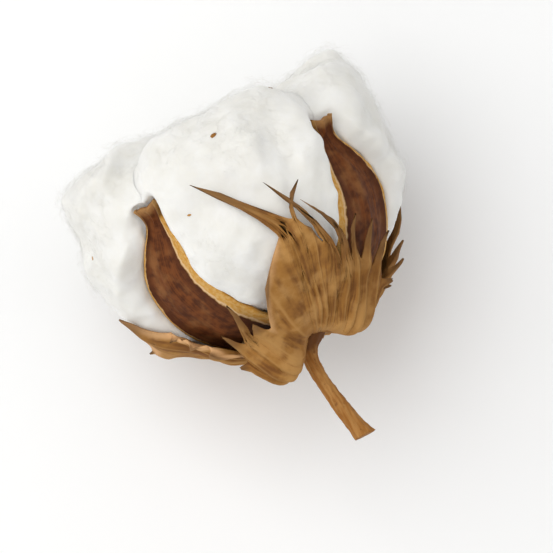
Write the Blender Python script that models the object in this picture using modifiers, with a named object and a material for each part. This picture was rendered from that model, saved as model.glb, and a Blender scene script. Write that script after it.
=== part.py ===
"""A ripe cotton boll, picked with its stalk and lying on its side.

The boll's axis lies level, along +Y from the stalk to the crown. A dry bur of four pointed valves
holds four locks of lint, one bulging out between each pair of valves, and three toothed bracts
clasp the bur from outside. The boll rests on the flat spot that its weight presses into the
under lock. Everything is modelled round the axis, with azimuths in degrees from straight up
towards +X, and one empty lifts it to its height above the surface.
"""

import math

import bmesh
import bpy
from mathutils import Vector, noise
from mathutils.bvhtree import BVHTree

MM = 0.001

# Clearance that neighbouring pieces keep.
GAP = 0.3 * MM

# The axis lies this high above the surface that the boll rests on.
AXIS_HEIGHT = 30.0 * MM

# Lengths that reach past the whole boll: the span of a cutting sector along the axis and away
# from it, and how far outside the boll a look at its surface starts.
SECTOR_START = -20.0 * MM
SECTOR_END = 80.0 * MM
SECTOR_WIDTH = 70.0 * MM
LOOK_FROM = 60.0 * MM

# Lint: the middle that its surface is measured from, and how far it reaches, by degrees of rise
# from the level of that middle towards the crown.
HEART = Vector((0.0, 25.0 * MM, 0.0))
LINT_REACH = (
    (-90, 21.0 * MM),
    (-66, 22.5 * MM),
    (-50, 26.0 * MM),
    (-40, 28.6 * MM),
    (-27, 31.2 * MM),
    (-13, 32.9 * MM),
    (0, 32.8 * MM),
    (10, 33.2 * MM),
    (21, 34.6 * MM),
    (33, 35.8 * MM),
    (43, 31.8 * MM),
    (60, 26.0 * MM),
    (90, 22.6 * MM),
)
LINT_DEPTH_SHARE = 0.95
LINT_ROUNDS = 5

# Swells on the lint: azimuth, rise, height and spread in degrees.
LINT_SWELLS = (
    (90, 40, 5.0 * MM, 10),
    (66, 52, -4.6 * MM, 15),
    (97, 26, -1.4 * MM, 11),
    (90, -24, -3.4 * MM, 26),
    (276, 34, 1.8 * MM, 16),
    (272, 3, 2.0 * MM, 15),
    (302, 50, 1.8 * MM, 13),
    (262, -10, -0.4 * MM, 20),
    (4, 40, -2.6 * MM, 17),
    (8, 4, 1.0 * MM, 24),
    (60, 66, -1.2 * MM, 14),
    (140, 44, 2.0 * MM, 16),
    (215, 48, 2.0 * MM, 17),
)

# Billows of the lint: size across and height, from broad to fine, and the level they rise from.
LINT_BILLOWS = ((17.0 * MM, 3.0 * MM), (8.0 * MM, 2.2 * MM), (4.2 * MM, 0.9 * MM))
BILLOW_MIDDLE = 0.25

# The furrow between two locks.
SEAM_DEPTH = 0.085
SEAM_WIDTH = 4.6 * MM
SEAM_SHARPNESS = 1.5

# Bur: the azimuth of each valve's beak and of the seam behind it, how far the rest of the valve
# is turned from its beak, and the line down the outside of a valve from base to beak.
VALVE_AZIMUTHS = (41, 134, 226, 319)
VALVE_LEANS = (13, 0, 0, -17)
LEAN_FROM = 0.62
VALVE_LINE = (
    (3.0 * MM, 0.6 * MM),
    (8.0 * MM, 1.1 * MM),
    (14.0 * MM, 3.1 * MM),
    (19.0 * MM, 6.4 * MM),
    (22.6 * MM, 10.6 * MM),
    (25.0 * MM, 16.0 * MM),
    (26.3 * MM, 22.0 * MM),
    (26.8 * MM, 27.0 * MM),
    (27.6 * MM, 30.6 * MM),
    (29.4 * MM, 33.8 * MM),
)
VALVE_HALF_WIDTH = (
    (0.0, 2.3 * MM),
    (0.11, 5.4 * MM),
    (0.24, 8.2 * MM),
    (0.37, 9.2 * MM),
    (0.5, 9.5 * MM),
    (0.61, 8.8 * MM),
    (0.73, 7.2 * MM),
    (0.82, 4.6 * MM),
    (0.9, 2.1 * MM),
    (1.0, 2.8 * MM),
)
VALVE_ROWS = 15
VALVE_COLUMNS = 6
VALVE_WALL = 1.1 * MM
LIP_LIFT = 0.9 * MM
LIP_FROM = 0.62
LIP_ROOT = 0.2
MIDRIB_LIFT = 0.35 * MM
MIDRIB_SHARE = 0.25
FORK_DEPTH = 2.4 * MM
FORK_FROM = 0.88
SEAT_GAP = 0.55 * MM
SEAT_CLEARING = 5.0 * MM
SEAT_FADE = 4.5 * MM
SEAT_BELOW = -5.0 * MM
SEAT_OUTSIDE = 30.0 * MM
CUP_OUTSIDE = (
    (0.0 * MM, 0.0 * MM),
    (6.0 * MM, 0.4 * MM),
    (10.0 * MM, 1.5 * MM),
    (14.2 * MM, 3.3 * MM),
)
CUP_INSIDE = (
    (13.3 * MM, 4.2 * MM),
    (9.2 * MM, 2.8 * MM),
    (5.4 * MM, 2.1 * MM),
    (0.0 * MM, 2.0 * MM),
)
CUP_SIDES = 32

# Bracts: the line that they follow outwards from their foot, and the cut edge of each, as
# azimuth and reach along that line, a notch and the tip of a tooth in turn.
BRACT_LINE = (
    (4.0 * MM, -1.3 * MM),
    (9.0 * MM, -1.1 * MM),
    (14.5 * MM, 0.8 * MM),
    (19.8 * MM, 4.2 * MM),
    (23.4 * MM, 9.3 * MM),
    (25.8 * MM, 15.5 * MM),
    (27.8 * MM, 22.0 * MM),
    (29.2 * MM, 28.0 * MM),
    (31.0 * MM, 40.0 * MM),
)
BRACT_EDGES = {
    "bract_front": (
        (-64, 11), (-61, 14), (-57, 13), (-44, 23.5), (-49, 15), (-33, 24), (-39, 17),
        (-30, 20), (-29, 16.5), (-15, 24), (-5, 29), (-17, 47), (3, 31.5), (15, 38.5),
        (6, 31), (11, 28), (15, 25), (4, 41), (27, 22), (13, 35), (34, 21), (37, 29),
        (40.5, 21), (46, 27), (51, 18.5), (58, 24), (65, 15), (69, 15.5), (71, 12),
    ),
    "bract_under": (
        (78, 11), (80, 14), (83, 14), (86, 19), (91, 17), (97, 23), (104, 20), (110, 34),
        (117, 25), (122, 44), (129, 27), (134, 42), (141, 25), (146, 35), (152, 22), (157, 26),
        (162, 19), (167, 22), (171, 15), (173, 16), (175, 11),
    ),
    "bract_left": (
        (185, 11), (187, 15), (190, 15), (194, 22), (198, 19), (203, 27), (208, 22),
        (212, 36), (219, 25), (227, 44), (232, 27), (236, 45), (243, 26), (250, 34), (255, 27),
        (267, 34), (271, 28.5), (276, 28.5), (278, 25), (282, 24), (284, 20), (287, 19),
        (289, 12),
    ),
}
TOOTH_STEPS = (0.0, 0.25, 0.5, 0.75)
TOOTH_TAPER = 2.2
BRACT_ROWS = 7
BRACT_WALL = 0.7 * MM
BRACT_CLEARANCE = 1.7 * MM
NEAR_TURNS = (-4.0, 0.0, 4.0)
NEAR_HEIGHTS = (-1.5 * MM, 0.0, 1.5 * MM)
PLEAT_LIFT = 0.55 * MM
PLEAT_RISE = 2.0
TIP_LIFT = 1.4 * MM

# How far the two side edges of each bract flare out, within this many degrees of the edge, and
# where along the bract it flares most.
FLARE_LIFTS = {
    "bract_front": (4.0 * MM, 0.5 * MM),
    "bract_under": (0.5 * MM, 0.0 * MM),
    "bract_left": (0.0 * MM, 0.0 * MM),
}
FLARE_SPAN = 22.0
FLARE_MIDDLE = 9.0 * MM
FLARE_SPREAD = 7.0 * MM

# Lobes that hang beside the stalk: azimuth, how far each droops and its spread in degrees.
LOBES = (
    (-44, 5.8 * MM, 17),
    (50, 4.4 * MM, 24),
    (262, 0.8 * MM, 18),
)
LOBE_MIDDLE = 6.5 * MM
LOBE_SPREAD = 5.5 * MM

# Straight under the boll the bracts end early, at this reach, and have no teeth.
UNDERSIDE_REACH = 23.0 * MM
UNDERSIDE_SPAN = (26.0, 48.0)

# Stalk: distance below the bur, sideways drift and radius, from the receptacle to the cut end.
STALK = (
    (0.4 * MM, 0.0 * MM, 3.4 * MM),
    (1.4 * MM, -0.05 * MM, 3.4 * MM),
    (2.6 * MM, -1.1 * MM, 2.8 * MM),
    (4.0 * MM, -2.1 * MM, 1.9 * MM),
    (6.0 * MM, -2.7 * MM, 1.5 * MM),
    (9.0 * MM, -2.7 * MM, 1.35 * MM),
    (13.0 * MM, -2.2 * MM, 1.4 * MM),
    (17.5 * MM, -1.5 * MM, 1.65 * MM),
    (21.5 * MM, -0.7 * MM, 1.8 * MM),
    (24.0 * MM, 0.0 * MM, 2.2 * MM),
)
STALK_STEPS = 18
STALK_CROWDING = 1.25

COLOURS = {
    "lint": ((0.87, 0.85, 0.80, 1.0), 0.95),
    "bur": ((0.12, 0.05, 0.025, 1.0), 0.55),
    "bract": ((0.40, 0.22, 0.09, 1.0), 0.8),
    "stalk": ((0.30, 0.14, 0.045, 1.0), 0.7),
}


def clear_scene():
    """Leave nothing of the startup scene."""
    for old in list(bpy.data.objects):
        bpy.data.objects.remove(old, do_unlink=True)


def collection(name):
    """A new collection in the scene."""
    made = bpy.data.collections.new(name)
    bpy.context.scene.collection.children.link(made)
    return made


def material(name):
    """The plain finish of one kind of piece."""
    colour, roughness = COLOURS[name]
    made = bpy.data.materials.new(name)
    made.use_nodes = True
    shader = made.node_tree.nodes["Principled BSDF"]
    shader.inputs["Base Color"].default_value = colour
    shader.inputs["Roughness"].default_value = roughness
    shader.inputs["Metallic"].default_value = 0.0
    return made


def add_object(name, mesh, home, finish=None):
    """An object for a mesh, in its collection and with its finish."""
    made = bpy.data.objects.new(name, mesh)
    home.objects.link(made)
    if finish:
        mesh.materials.clear()
        mesh.materials.append(finish)
    return made


def cutter(name, mesh, home):
    """A helper that cuts other pieces and isn't one itself."""
    made = add_object(name, mesh, home)
    made.hide_render = True
    made.display_type = "WIRE"
    return made


def mesh_from(name, bm):
    """A mesh with its faces turned outwards, made of a bmesh, which it frees."""
    bmesh.ops.recalc_face_normals(bm, faces=bm.faces)
    mesh = bpy.data.meshes.new(name)
    bm.to_mesh(mesh)
    bm.free()
    return mesh


def smoothstep(value):
    """0 below 0, 1 above 1, and a smooth rise between."""
    share = min(max(value, 0.0), 1.0)
    return share * share * (3.0 - 2.0 * share)


def from_table(table, at):
    """A smooth curve through a table of (position, value), held level past its ends."""
    if at <= table[0][0]:
        return table[0][1]
    if at >= table[-1][0]:
        return table[-1][1]
    i = next(k for k in range(len(table) - 1) if at <= table[k + 1][0])
    (x0, v0), (x1, v1) = table[i], table[i + 1]
    before = table[i - 1] if i else table[i]
    after = table[i + 2] if i + 2 < len(table) else table[i + 1]
    span = x1 - x0
    slope0 = (v1 - before[1]) / (x1 - before[0]) * span
    slope1 = (after[1] - v0) / (after[0] - x0) * span
    t = (at - x0) / span
    return (
        (2 * t**3 - 3 * t**2 + 1) * v0
        + (t**3 - 2 * t**2 + t) * slope0
        + (3 * t**2 - 2 * t**3) * v1
        + (t**3 - t**2) * slope1
    )


class Line:
    """A smooth line of (radius, height) points beside the axis, read by its own length."""

    STEPS = 12

    def __init__(self, points):
        marks = [(i, p[0]) for i, p in enumerate(points)]
        rises = [(i, p[1]) for i, p in enumerate(points)]
        count = self.STEPS * (len(points) - 1)
        fine = [i / self.STEPS for i in range(count + 1)]
        self.points = [(from_table(marks, i), from_table(rises, i)) for i in fine]
        self.along = [0.0]
        for (r0, y0), (r1, y1) in zip(self.points, self.points[1:]):
            self.along.append(self.along[-1] + math.hypot(r1 - r0, y1 - y0))
        self.length = self.along[-1]

    def at(self, distance):
        """Radius, height and the outward normal (radius part, height part) at a distance."""
        distance = min(max(distance, 0.0), self.length)
        last = len(self.along) - 2
        i = next((k for k in range(last) if distance <= self.along[k + 1]), last)
        (r0, y0), (r1, y1) = self.points[i], self.points[i + 1]
        step = self.along[i + 1] - self.along[i]
        t = (distance - self.along[i]) / step
        normal = ((y1 - y0) / step, -(r1 - r0) / step)
        return r0 + (r1 - r0) * t, y0 + (y1 - y0) * t, normal

    def share_at_height(self, height):
        """How far along the line, from 0 to 1, it first reaches a height."""
        for along, (_, y) in zip(self.along, self.points):
            if y >= height:
                return along / self.length
        return 1.0


VALVE = Line(VALVE_LINE)
BRACT = Line(BRACT_LINE)


def around(azimuth, radius, height):
    """The point at an azimuth in degrees, a radius from the axis and a height along it."""
    turn = math.radians(azimuth)
    return Vector((radius * math.sin(turn), height, radius * math.cos(turn)))


def turn_between(azimuth, other):
    """Degrees from another azimuth to this one, from -180 to 180."""
    return (azimuth - other + 180.0) % 360.0 - 180.0


def valve_turns(share):
    """The azimuth of each valve's middle at a share of its length from the base."""
    turned = 1.0 - smoothstep((share - LEAN_FROM) / (1.0 - LEAN_FROM))
    return [azimuth + lean * turned for azimuth, lean in zip(VALVE_AZIMUTHS, VALVE_LEANS)]


def seated(point):
    """A point of the lint, drawn in where it would lie in a valve, with a soft bank beside it."""
    radius = math.hypot(point.x, point.z)
    azimuth = math.degrees(math.atan2(point.x, point.z))
    if point.y > VALVE_LINE[-1][1] or radius < VALVE_LINE[0][0]:
        return point
    share = VALVE.share_at_height(point.y)
    valve_radius = VALVE.at(share * VALVE.length)[0]
    seat = min(radius, valve_radius - VALVE_WALL - SEAT_GAP)
    off = min(abs(turn_between(azimuth, turn)) for turn in valve_turns(share))
    beside = radius * math.radians(off) - from_table(VALVE_HALF_WIDTH, share)
    kept = seat + (radius - seat) * smoothstep(beside / SEAT_FADE)
    return Vector((point.x * kept / radius, point.y, point.z * kept / radius))


def lint_point(direction):
    """Where the lint's surface lies in a direction from its heart."""
    rise = math.degrees(math.asin(min(max(direction.y, -1.0), 1.0)))
    azimuth = math.degrees(math.atan2(direction.x, direction.z))
    reach = from_table(LINT_REACH, rise)
    off = min(abs(turn_between(azimuth, valve)) for valve in VALVE_AZIMUTHS)
    from_seam = reach * math.cos(math.radians(rise)) * math.sin(math.radians(off))
    reach *= 1.0 - SEAM_DEPTH * math.exp(-((from_seam / SEAM_WIDTH) ** SEAM_SHARPNESS))
    for at, swell_rise, height, spread in LINT_SWELLS:
        level = math.cos(math.radians(swell_rise))
        middle = around(at, level, math.sin(math.radians(swell_rise)))
        reach += height * math.exp(-((math.degrees(middle.angle(direction)) / spread) ** 2))
    for size, height in LINT_BILLOWS:
        reach += height * (abs(noise.noise(direction * (reach / size))) - BILLOW_MIDDLE)
    return seated(HEART + direction * reach * Vector((1.0, 1.0, LINT_DEPTH_SHARE)))


def lint_mesh():
    """The whole fluff of the boll as one closed surface, before it is parted into locks."""
    bm = bmesh.new()
    bmesh.ops.create_icosphere(bm, subdivisions=LINT_ROUNDS, radius=1.0)
    for vertex in bm.verts:
        vertex.co = lint_point(vertex.co.normalized())
    return mesh_from("lint", bm)


def wedge_mesh(name, start, end, floor):
    """The sector between two azimuths that one lock fills, down to the floor where it has one."""
    middle = start + (end - start) / 2
    inset = GAP / 2 / math.sin(math.radians((end - start) / 2))
    apex = around(middle, inset, 0.0)
    if floor:
        reaches = [(AXIS_HEIGHT + apex.z) / -math.cos(math.radians(a)) for a in (start, end)]
        sides = [around(a, reach, 0.0) for a, reach in zip((start, end), reaches)]
    else:
        sides = [around(a, SECTOR_WIDTH, 0.0) for a in (start, middle, end)]
    corners = [apex, *[apex + side for side in sides]]
    bm = bmesh.new()
    foot = [bm.verts.new((c.x, SECTOR_START, c.z)) for c in corners]
    face = bm.faces.new(foot)
    raised = bmesh.ops.extrude_face_region(bm, geom=[face])["geom"]
    tops = [item for item in raised if isinstance(item, bmesh.types.BMVert)]
    bmesh.ops.translate(bm, vec=(0.0, SECTOR_END - SECTOR_START, 0.0), verts=tops)
    return mesh_from(name, bm)


def valve_mesh(name, number, margin):
    """The outer face of one valve, as a grid from its base to its forked beak."""
    bm = bmesh.new()
    rows = []
    for i in range(VALVE_ROWS + 1):
        share = i / VALVE_ROWS
        radius, height, normal = VALVE.at(share * VALVE.length)
        azimuth = valve_turns(share)[number]
        half = from_table(VALVE_HALF_WIDTH, share) + margin
        beyond = 2.0 * margin * smoothstep((share - FORK_FROM) / (1.0 - FORK_FROM))
        radius -= beyond * normal[1]
        height += beyond * normal[0]
        row = []
        for j in range(VALVE_COLUMNS + 1):
            across = 2.0 * j / VALVE_COLUMNS - 1.0
            lip = smoothstep((abs(across) - LIP_FROM) / (1.0 - LIP_FROM))
            lift = LIP_LIFT * lip * smoothstep(share / LIP_ROOT)
            lift += MIDRIB_LIFT * (1.0 - smoothstep(abs(across) / MIDRIB_SHARE))
            fork = smoothstep((share - FORK_FROM) / (1.0 - FORK_FROM))
            drop = FORK_DEPTH * fork * (1.0 - abs(across))
            turn = math.degrees(across * half / radius)
            point = around(
                azimuth + turn, radius + lift * normal[0], height + lift * normal[1] - drop
            )
            row.append(bm.verts.new(point))
        rows.append(row)
    for lower, upper in zip(rows, rows[1:]):
        for j in range(VALVE_COLUMNS):
            bm.faces.new((lower[j], lower[j + 1], upper[j + 1], upper[j]))
    mesh = bpy.data.meshes.new(name)
    outward = around(VALVE_AZIMUTHS[number], 1.0, 0.0)
    bm.normal_update()
    if sum((face.normal.dot(outward) for face in bm.faces), 0.0) < 0:
        bmesh.ops.reverse_faces(bm, faces=bm.faces)
    bm.to_mesh(mesh)
    bm.free()
    return mesh


def thicken(piece, outwards, inwards):
    """Give an open surface a wall that reaches this far each side of it."""
    wall = piece.modifiers.new("wall", "SOLIDIFY")
    wall.thickness = outwards + inwards
    wall.offset = (outwards - inwards) / (outwards + inwards)


def turned_mesh(name, profile, sides):
    """A closed shape turned round the boll's axis from a profile of (radius, height) points."""
    bm = bmesh.new()
    chain = [bm.verts.new((r, y, 0.0)) for r, y in profile]
    edges = [bm.edges.new(pair) for pair in zip(chain, chain[1:])]
    bmesh.ops.spin(
        bm,
        geom=chain + edges,
        axis=(0.0, 1.0, 0.0),
        cent=(0.0, 0.0, 0.0),
        angle=math.tau,
        steps=sides,
        use_merge=True,
    )
    bmesh.ops.remove_doubles(bm, verts=bm.verts, dist=0.01 * MM)
    return mesh_from(name, bm)


def applied(piece, name):
    """A plain mesh of an object with all its modifiers, and the object removed."""
    graph = bpy.context.evaluated_depsgraph_get()
    mesh = bpy.data.meshes.new_from_object(piece.evaluated_get(graph))
    mesh.name = name
    bpy.data.objects.remove(piece, do_unlink=True)
    return mesh


def make_bur(parts, finish):
    """The opened capsule: a cup whose rim goes on as four pointed valves."""
    valves = collection("valves")
    for i in range(len(VALVE_AZIMUTHS)):
        valve = add_object(f"valve_{i}", valve_mesh("valve", i, 0.0), valves)
        thicken(valve, 0.0, VALVE_WALL)
    cup = add_object("cup", turned_mesh("cup", CUP_OUTSIDE + CUP_INSIDE, CUP_SIDES), parts)
    union = cup.modifiers.new("union", "BOOLEAN")
    union.operation = "UNION"
    union.operand_type = "COLLECTION"
    union.collection = valves
    mesh = applied(cup, "bur")
    for valve in list(valves.objects):
        bpy.data.objects.remove(valve, do_unlink=True)
    bpy.data.collections.remove(valves)
    return add_object("bur", mesh, parts, finish)


def make_seats(seats):
    """What the bur needs of the lint's room: each valve with the air outside it, and the cup."""
    for i in range(len(VALVE_AZIMUTHS)):
        seat = cutter(f"seat_{i}", valve_mesh("seat", i, SEAT_GAP), seats)
        thicken(seat, SEAT_CLEARING, VALVE_WALL + SEAT_GAP)
    rim_radius, rim_height = CUP_INSIDE[0]
    inside = tuple((r, y + SEAT_GAP) for r, y in CUP_INSIDE)
    rim = (rim_radius + SEAT_GAP, rim_height + SEAT_GAP)
    outside = ((0.0, SEAT_BELOW), (SEAT_OUTSIDE, SEAT_BELOW), rim)
    cutter("seat_cup", turned_mesh("seat_cup", outside + inside, CUP_SIDES), seats)


def make_locks(parts, cutters, seats, finish):
    """The four locks of lint, parted along the valves and seated in the bur."""
    names = ("lock_right", "lock_under", "lock_left", "lock_front")
    lint = lint_mesh()
    made = []
    for i, name in enumerate(names):
        start = VALVE_AZIMUTHS[i]
        end = VALVE_AZIMUTHS[(i + 1) % len(names)]
        end += 360 if end < start else 0
        sector = cutter(
            f"sector_{name}", wedge_mesh("sector", start, end, name == "lock_under"), cutters
        )
        lock = add_object(name, lint, parts, finish)
        share = lock.modifiers.new("share", "BOOLEAN")
        share.operation = "INTERSECT"
        share.object = sector
        seat = lock.modifiers.new("seat", "BOOLEAN")
        seat.operation = "DIFFERENCE"
        seat.operand_type = "COLLECTION"
        seat.collection = seats
        made.append(lock)
    return made


def surface_trees(pieces):
    """Search trees of the finished surfaces of these pieces."""
    graph = bpy.context.evaluated_depsgraph_get()
    return [BVHTree.FromObject(piece, graph) for piece in pieces]


def outermost(trees, azimuth, height):
    """How far out the pieces reach at an azimuth and a height, looking in from outside."""
    start = around(azimuth, LOOK_FROM, height)
    inward = around(azimuth, -1.0, 0.0)
    hits = [tree.ray_cast(start, inward, LOOK_FROM) for tree in trees]
    return max((LOOK_FROM - hit[3] for hit in hits if hit[3] is not None), default=0.0)


def bract_columns(edge):
    """Each column of a bract's grid: azimuth, blade reach, tooth length, inner and lean.

    Inner is 1 at the middle of a tooth and 0 in a notch. Lean is how far the tip is turned.
    """
    columns = []
    notches = edge[::2]
    for i, (tip_at, tip_reach) in enumerate(edge[1::2]):
        (start, reach), (end, end_reach) = notches[i], notches[i + 1]
        tooth = (tip_reach - (reach + end_reach) / 2) * MM
        lean = tip_at - (start + end) / 2
        for step in TOOTH_STEPS:
            inner = 1.0 - abs(2.0 * step - 1.0)
            blade = (reach + (end_reach - reach) * step) * MM
            columns.append((start + (end - start) * step, blade, tooth, inner, lean))
    columns.append((notches[-1][0], notches[-1][1] * MM, 0.0, 0.0, 0.0))
    return columns


def bract_lift(name, azimuth, distance):
    """How far the side edges of a bract flare out at a distance from its foot."""
    edge = BRACT_EDGES[name]
    swell = math.exp(-(((distance - FLARE_MIDDLE) / FLARE_SPREAD) ** 2))
    flares = [
        lift * (1.0 - smoothstep(abs(azimuth - end[0]) / FLARE_SPAN))
        for lift, end in zip(FLARE_LIFTS[name], (edge[0], edge[-1]))
    ]
    return sum(flares) * swell


def bract_droop(azimuth, distance):
    """How far a bract hangs at a distance from its foot, in the lobes beside the stalk."""
    swell = math.exp(-(((distance - LOBE_MIDDLE) / LOBE_SPREAD) ** 2))
    droops = [
        droop * math.exp(-((turn_between(azimuth, at) / spread) ** 2))
        for at, droop, spread in LOBES
    ]
    return sum(droops) * swell


def bract_point(name, column, share, trees):
    """A point of a bract's inner face, at a share of one column from its foot to its end."""
    azimuth, blade, tooth, inner, lean = column
    low, high = UNDERSIDE_SPAN
    free = smoothstep((abs(turn_between(azimuth, 180.0)) - low) / (high - low))
    most = UNDERSIDE_REACH + (1.0 - UNDERSIDE_REACH) * free
    length = min(blade, most) + tooth * inner**TOOTH_TAPER * free
    distance = share * length
    radius, height, normal = BRACT.at(distance)
    past = max(distance - blade, 0.0) / tooth if tooth > 0.0 else 0.0
    lift = PLEAT_LIFT * inner * smoothstep(share * PLEAT_RISE) + TIP_LIFT * past
    lift += bract_lift(name, azimuth, distance)
    radius += lift * normal[0]
    height += lift * normal[1] - bract_droop(azimuth, distance)
    turn = azimuth + lean * past
    if height > CUP_OUTSIDE[-1][1]:
        near = [
            outermost(trees, turn + sideways, height + along)
            for sideways in NEAR_TURNS
            for along in NEAR_HEIGHTS
        ]
        radius = max(radius, max(near) + BRACT_CLEARANCE)
    return around(turn, radius, height)


def make_bract(name, edge, trees, parts, finish):
    """One bract: a cupped, pleated leaf whose edge runs out in long narrow teeth."""
    columns = bract_columns(edge)
    ends = (edge[0][0], edge[-1][0])
    bm = bmesh.new()
    grid = [
        [
            bm.verts.new(bract_point(name, column, i / BRACT_ROWS, trees))
            for i in range(BRACT_ROWS + 1)
        ]
        for column in columns
    ]
    for left, right in zip(grid, grid[1:]):
        for i in range(BRACT_ROWS):
            bm.faces.new((left[i], right[i], right[i + 1], left[i + 1]))
    bm.normal_update()
    outward = around(sum(ends) / 2, 1.0, -1.0)
    if sum((face.normal.dot(outward) for face in bm.faces), 0.0) < 0:
        bmesh.ops.reverse_faces(bm, faces=bm.faces)
    bmesh.ops.triangulate(bm, faces=bm.faces)
    mesh = bpy.data.meshes.new(name)
    bm.to_mesh(mesh)
    bm.free()
    bract = add_object(name, mesh, parts, finish)
    thicken(bract, BRACT_WALL, 0.0)
    return bract


def make_stalk(parts, finish):
    """The stalk with the receptacle that carries the boll, as one tube of changing thickness."""
    curve = bpy.data.curves.new("stalk", "CURVE")
    curve.dimensions = "3D"
    curve.bevel_depth = 1.0
    curve.bevel_resolution = 2
    curve.use_fill_caps = True
    spline = curve.splines.new("POLY")
    spline.points.add(STALK_STEPS)
    drifts = [(down, drift) for down, drift, _ in STALK]
    girths = [(down, radius) for down, _, radius in STALK]
    for i, point in enumerate(spline.points):
        share = i / STALK_STEPS
        down = STALK[0][0] + (STALK[-1][0] - STALK[0][0]) * share**STALK_CROWDING
        point.co = (from_table(drifts, down), -down, 0.0, 1.0)
        point.radius = from_table(girths, down)
    curve.materials.append(finish)
    stalk = bpy.data.objects.new("stalk", curve)
    parts.objects.link(stalk)
    return stalk


def bottom_centre(pieces):
    """The middle of the box round these pieces, at the level of its bottom."""
    graph = bpy.context.evaluated_depsgraph_get()
    meshes = [piece.evaluated_get(graph).to_mesh() for piece in pieces]
    points = [vertex.co for mesh in meshes for vertex in mesh.vertices]
    low, high = (Vector(pick(p[k] for p in points) for k in range(3)) for pick in (min, max))
    return Vector(((low.x + high.x) / 2, (low.y + high.y) / 2, low.z))


def main():
    clear_scene()
    parts = collection("cotton_boll")
    cutters = collection("cutters")
    seats = collection("seats")
    finishes = {name: material(name) for name in COLOURS}
    make_seats(seats)
    bur = make_bur(parts, finishes["bur"])
    locks = make_locks(parts, cutters, seats, finishes["lint"])
    trees = surface_trees([bur, *locks])
    bracts = [
        make_bract(name, edge, trees, parts, finishes["bract"])
        for name, edge in BRACT_EDGES.items()
    ]
    stalk = make_stalk(parts, finishes["stalk"])
    pieces = (bur, *locks, *bracts, stalk)
    for piece in (bur, *locks):
        piece.data.shade_smooth()
    place = bpy.data.objects.new("boll_place", None)
    parts.objects.link(place)
    place.location = -bottom_centre(pieces)
    for piece in (*pieces, *cutters.objects, *seats.objects):
        piece.parent = place


main()
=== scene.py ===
"""The looks of a ripe cotton boll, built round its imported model.

The boll lies on its side: a dry bur of four forked valves holds four locks of lint, three toothed
bracts clasp the bur, and the stalk runs back from it. Every piece is made round the boll's axis,
with azimuths in degrees from straight up towards +X, and set in its place in its mesh. The lint is
grown out of the model's own locks, and the leaves are laid over the model's own surfaces.
"""

import logging
import math
import random
from dataclasses import dataclass
from enum import Enum
from typing import Sequence

import bmesh
import bpy
import numpy as np
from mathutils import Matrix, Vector, noise
from mathutils.bvhtree import BVHTree


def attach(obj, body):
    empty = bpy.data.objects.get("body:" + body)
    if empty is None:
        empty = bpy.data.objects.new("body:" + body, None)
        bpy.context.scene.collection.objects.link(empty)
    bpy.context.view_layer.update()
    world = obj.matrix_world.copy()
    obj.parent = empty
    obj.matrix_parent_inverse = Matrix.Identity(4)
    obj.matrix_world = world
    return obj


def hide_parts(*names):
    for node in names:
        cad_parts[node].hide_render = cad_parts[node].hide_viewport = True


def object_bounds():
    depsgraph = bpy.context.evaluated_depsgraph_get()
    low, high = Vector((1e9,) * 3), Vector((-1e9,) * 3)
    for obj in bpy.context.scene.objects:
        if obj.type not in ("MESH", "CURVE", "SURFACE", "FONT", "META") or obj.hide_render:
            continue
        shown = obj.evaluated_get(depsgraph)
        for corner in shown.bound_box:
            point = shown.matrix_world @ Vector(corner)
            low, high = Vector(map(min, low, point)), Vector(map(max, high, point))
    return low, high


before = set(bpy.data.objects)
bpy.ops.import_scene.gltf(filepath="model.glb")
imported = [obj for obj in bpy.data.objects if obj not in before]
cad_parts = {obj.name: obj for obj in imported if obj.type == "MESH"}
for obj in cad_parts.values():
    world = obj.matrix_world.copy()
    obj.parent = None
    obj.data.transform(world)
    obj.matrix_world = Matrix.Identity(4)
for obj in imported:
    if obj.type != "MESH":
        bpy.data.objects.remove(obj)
CAD_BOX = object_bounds()

LOG = logging.getLogger("cotton_boll")
MM = 0.001
BODY = "root"
VALVES_AT = (41.0, 134.0, 226.0, 319.0)
WELD = 0.001 * MM

Table = Sequence[tuple[float, ...]]
Wave = tuple[float, float, float]
Colour = tuple[float, float, float]


class Slot(Enum):
    """Material slots."""

    LINT = "lint"
    BUR = "bur"
    BRACT = "bract"
    STALK = "stalk"


def scaled(table: Table, *units: float) -> Table:
    """A table whose columns are each brought to metres or left as they are.

    Args:
        table: Rows of numbers.
        units: What each column is multiplied by.

    Returns:
        The rows.
    """
    return tuple(tuple(value * unit for value, unit in zip(row, units)) for row in table)


def smoothstep(value: float) -> float:
    """A smooth rise from 0 at 0 to 1 at 1, level outside."""
    share = min(max(value, 0.0), 1.0)
    return share * share * (3.0 - 2.0 * share)


def bell(offset: float, spread: float) -> float:
    """A smooth bump that is 1 where the offset is 0."""
    return math.exp(-((offset / spread) ** 2))


def wrapped(angle: float) -> float:
    """The same angle between -180 and 180 degrees."""
    return (angle + 180.0) % 360.0 - 180.0


def from_table(table: Table, at: float) -> float:
    """A smooth curve through a table, held level past its ends.

    Args:
        table: Pairs of position and value, in rising order of position.
        at: Where to read the curve.

    Returns:
        The value there.
    """
    if at <= table[0][0]:
        return table[0][1]
    if at >= table[-1][0]:
        return table[-1][1]
    i = next(k for k in range(len(table) - 1) if at <= table[k + 1][0])
    (x0, v0), (x1, v1) = table[i], table[i + 1]
    before = table[max(i - 1, 0)]
    after = table[min(i + 2, len(table) - 1)]
    span = x1 - x0
    slope0 = (v1 - before[1]) / (x1 - before[0]) * span
    slope1 = (after[1] - v0) / (after[0] - x0) * span
    t = (at - x0) / span
    rise = 3 * t**2 - 2 * t**3
    return (1 - rise) * v0 + rise * v1 + (t**3 - 2 * t**2 + t) * slope0 + (t**3 - t**2) * slope1


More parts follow.
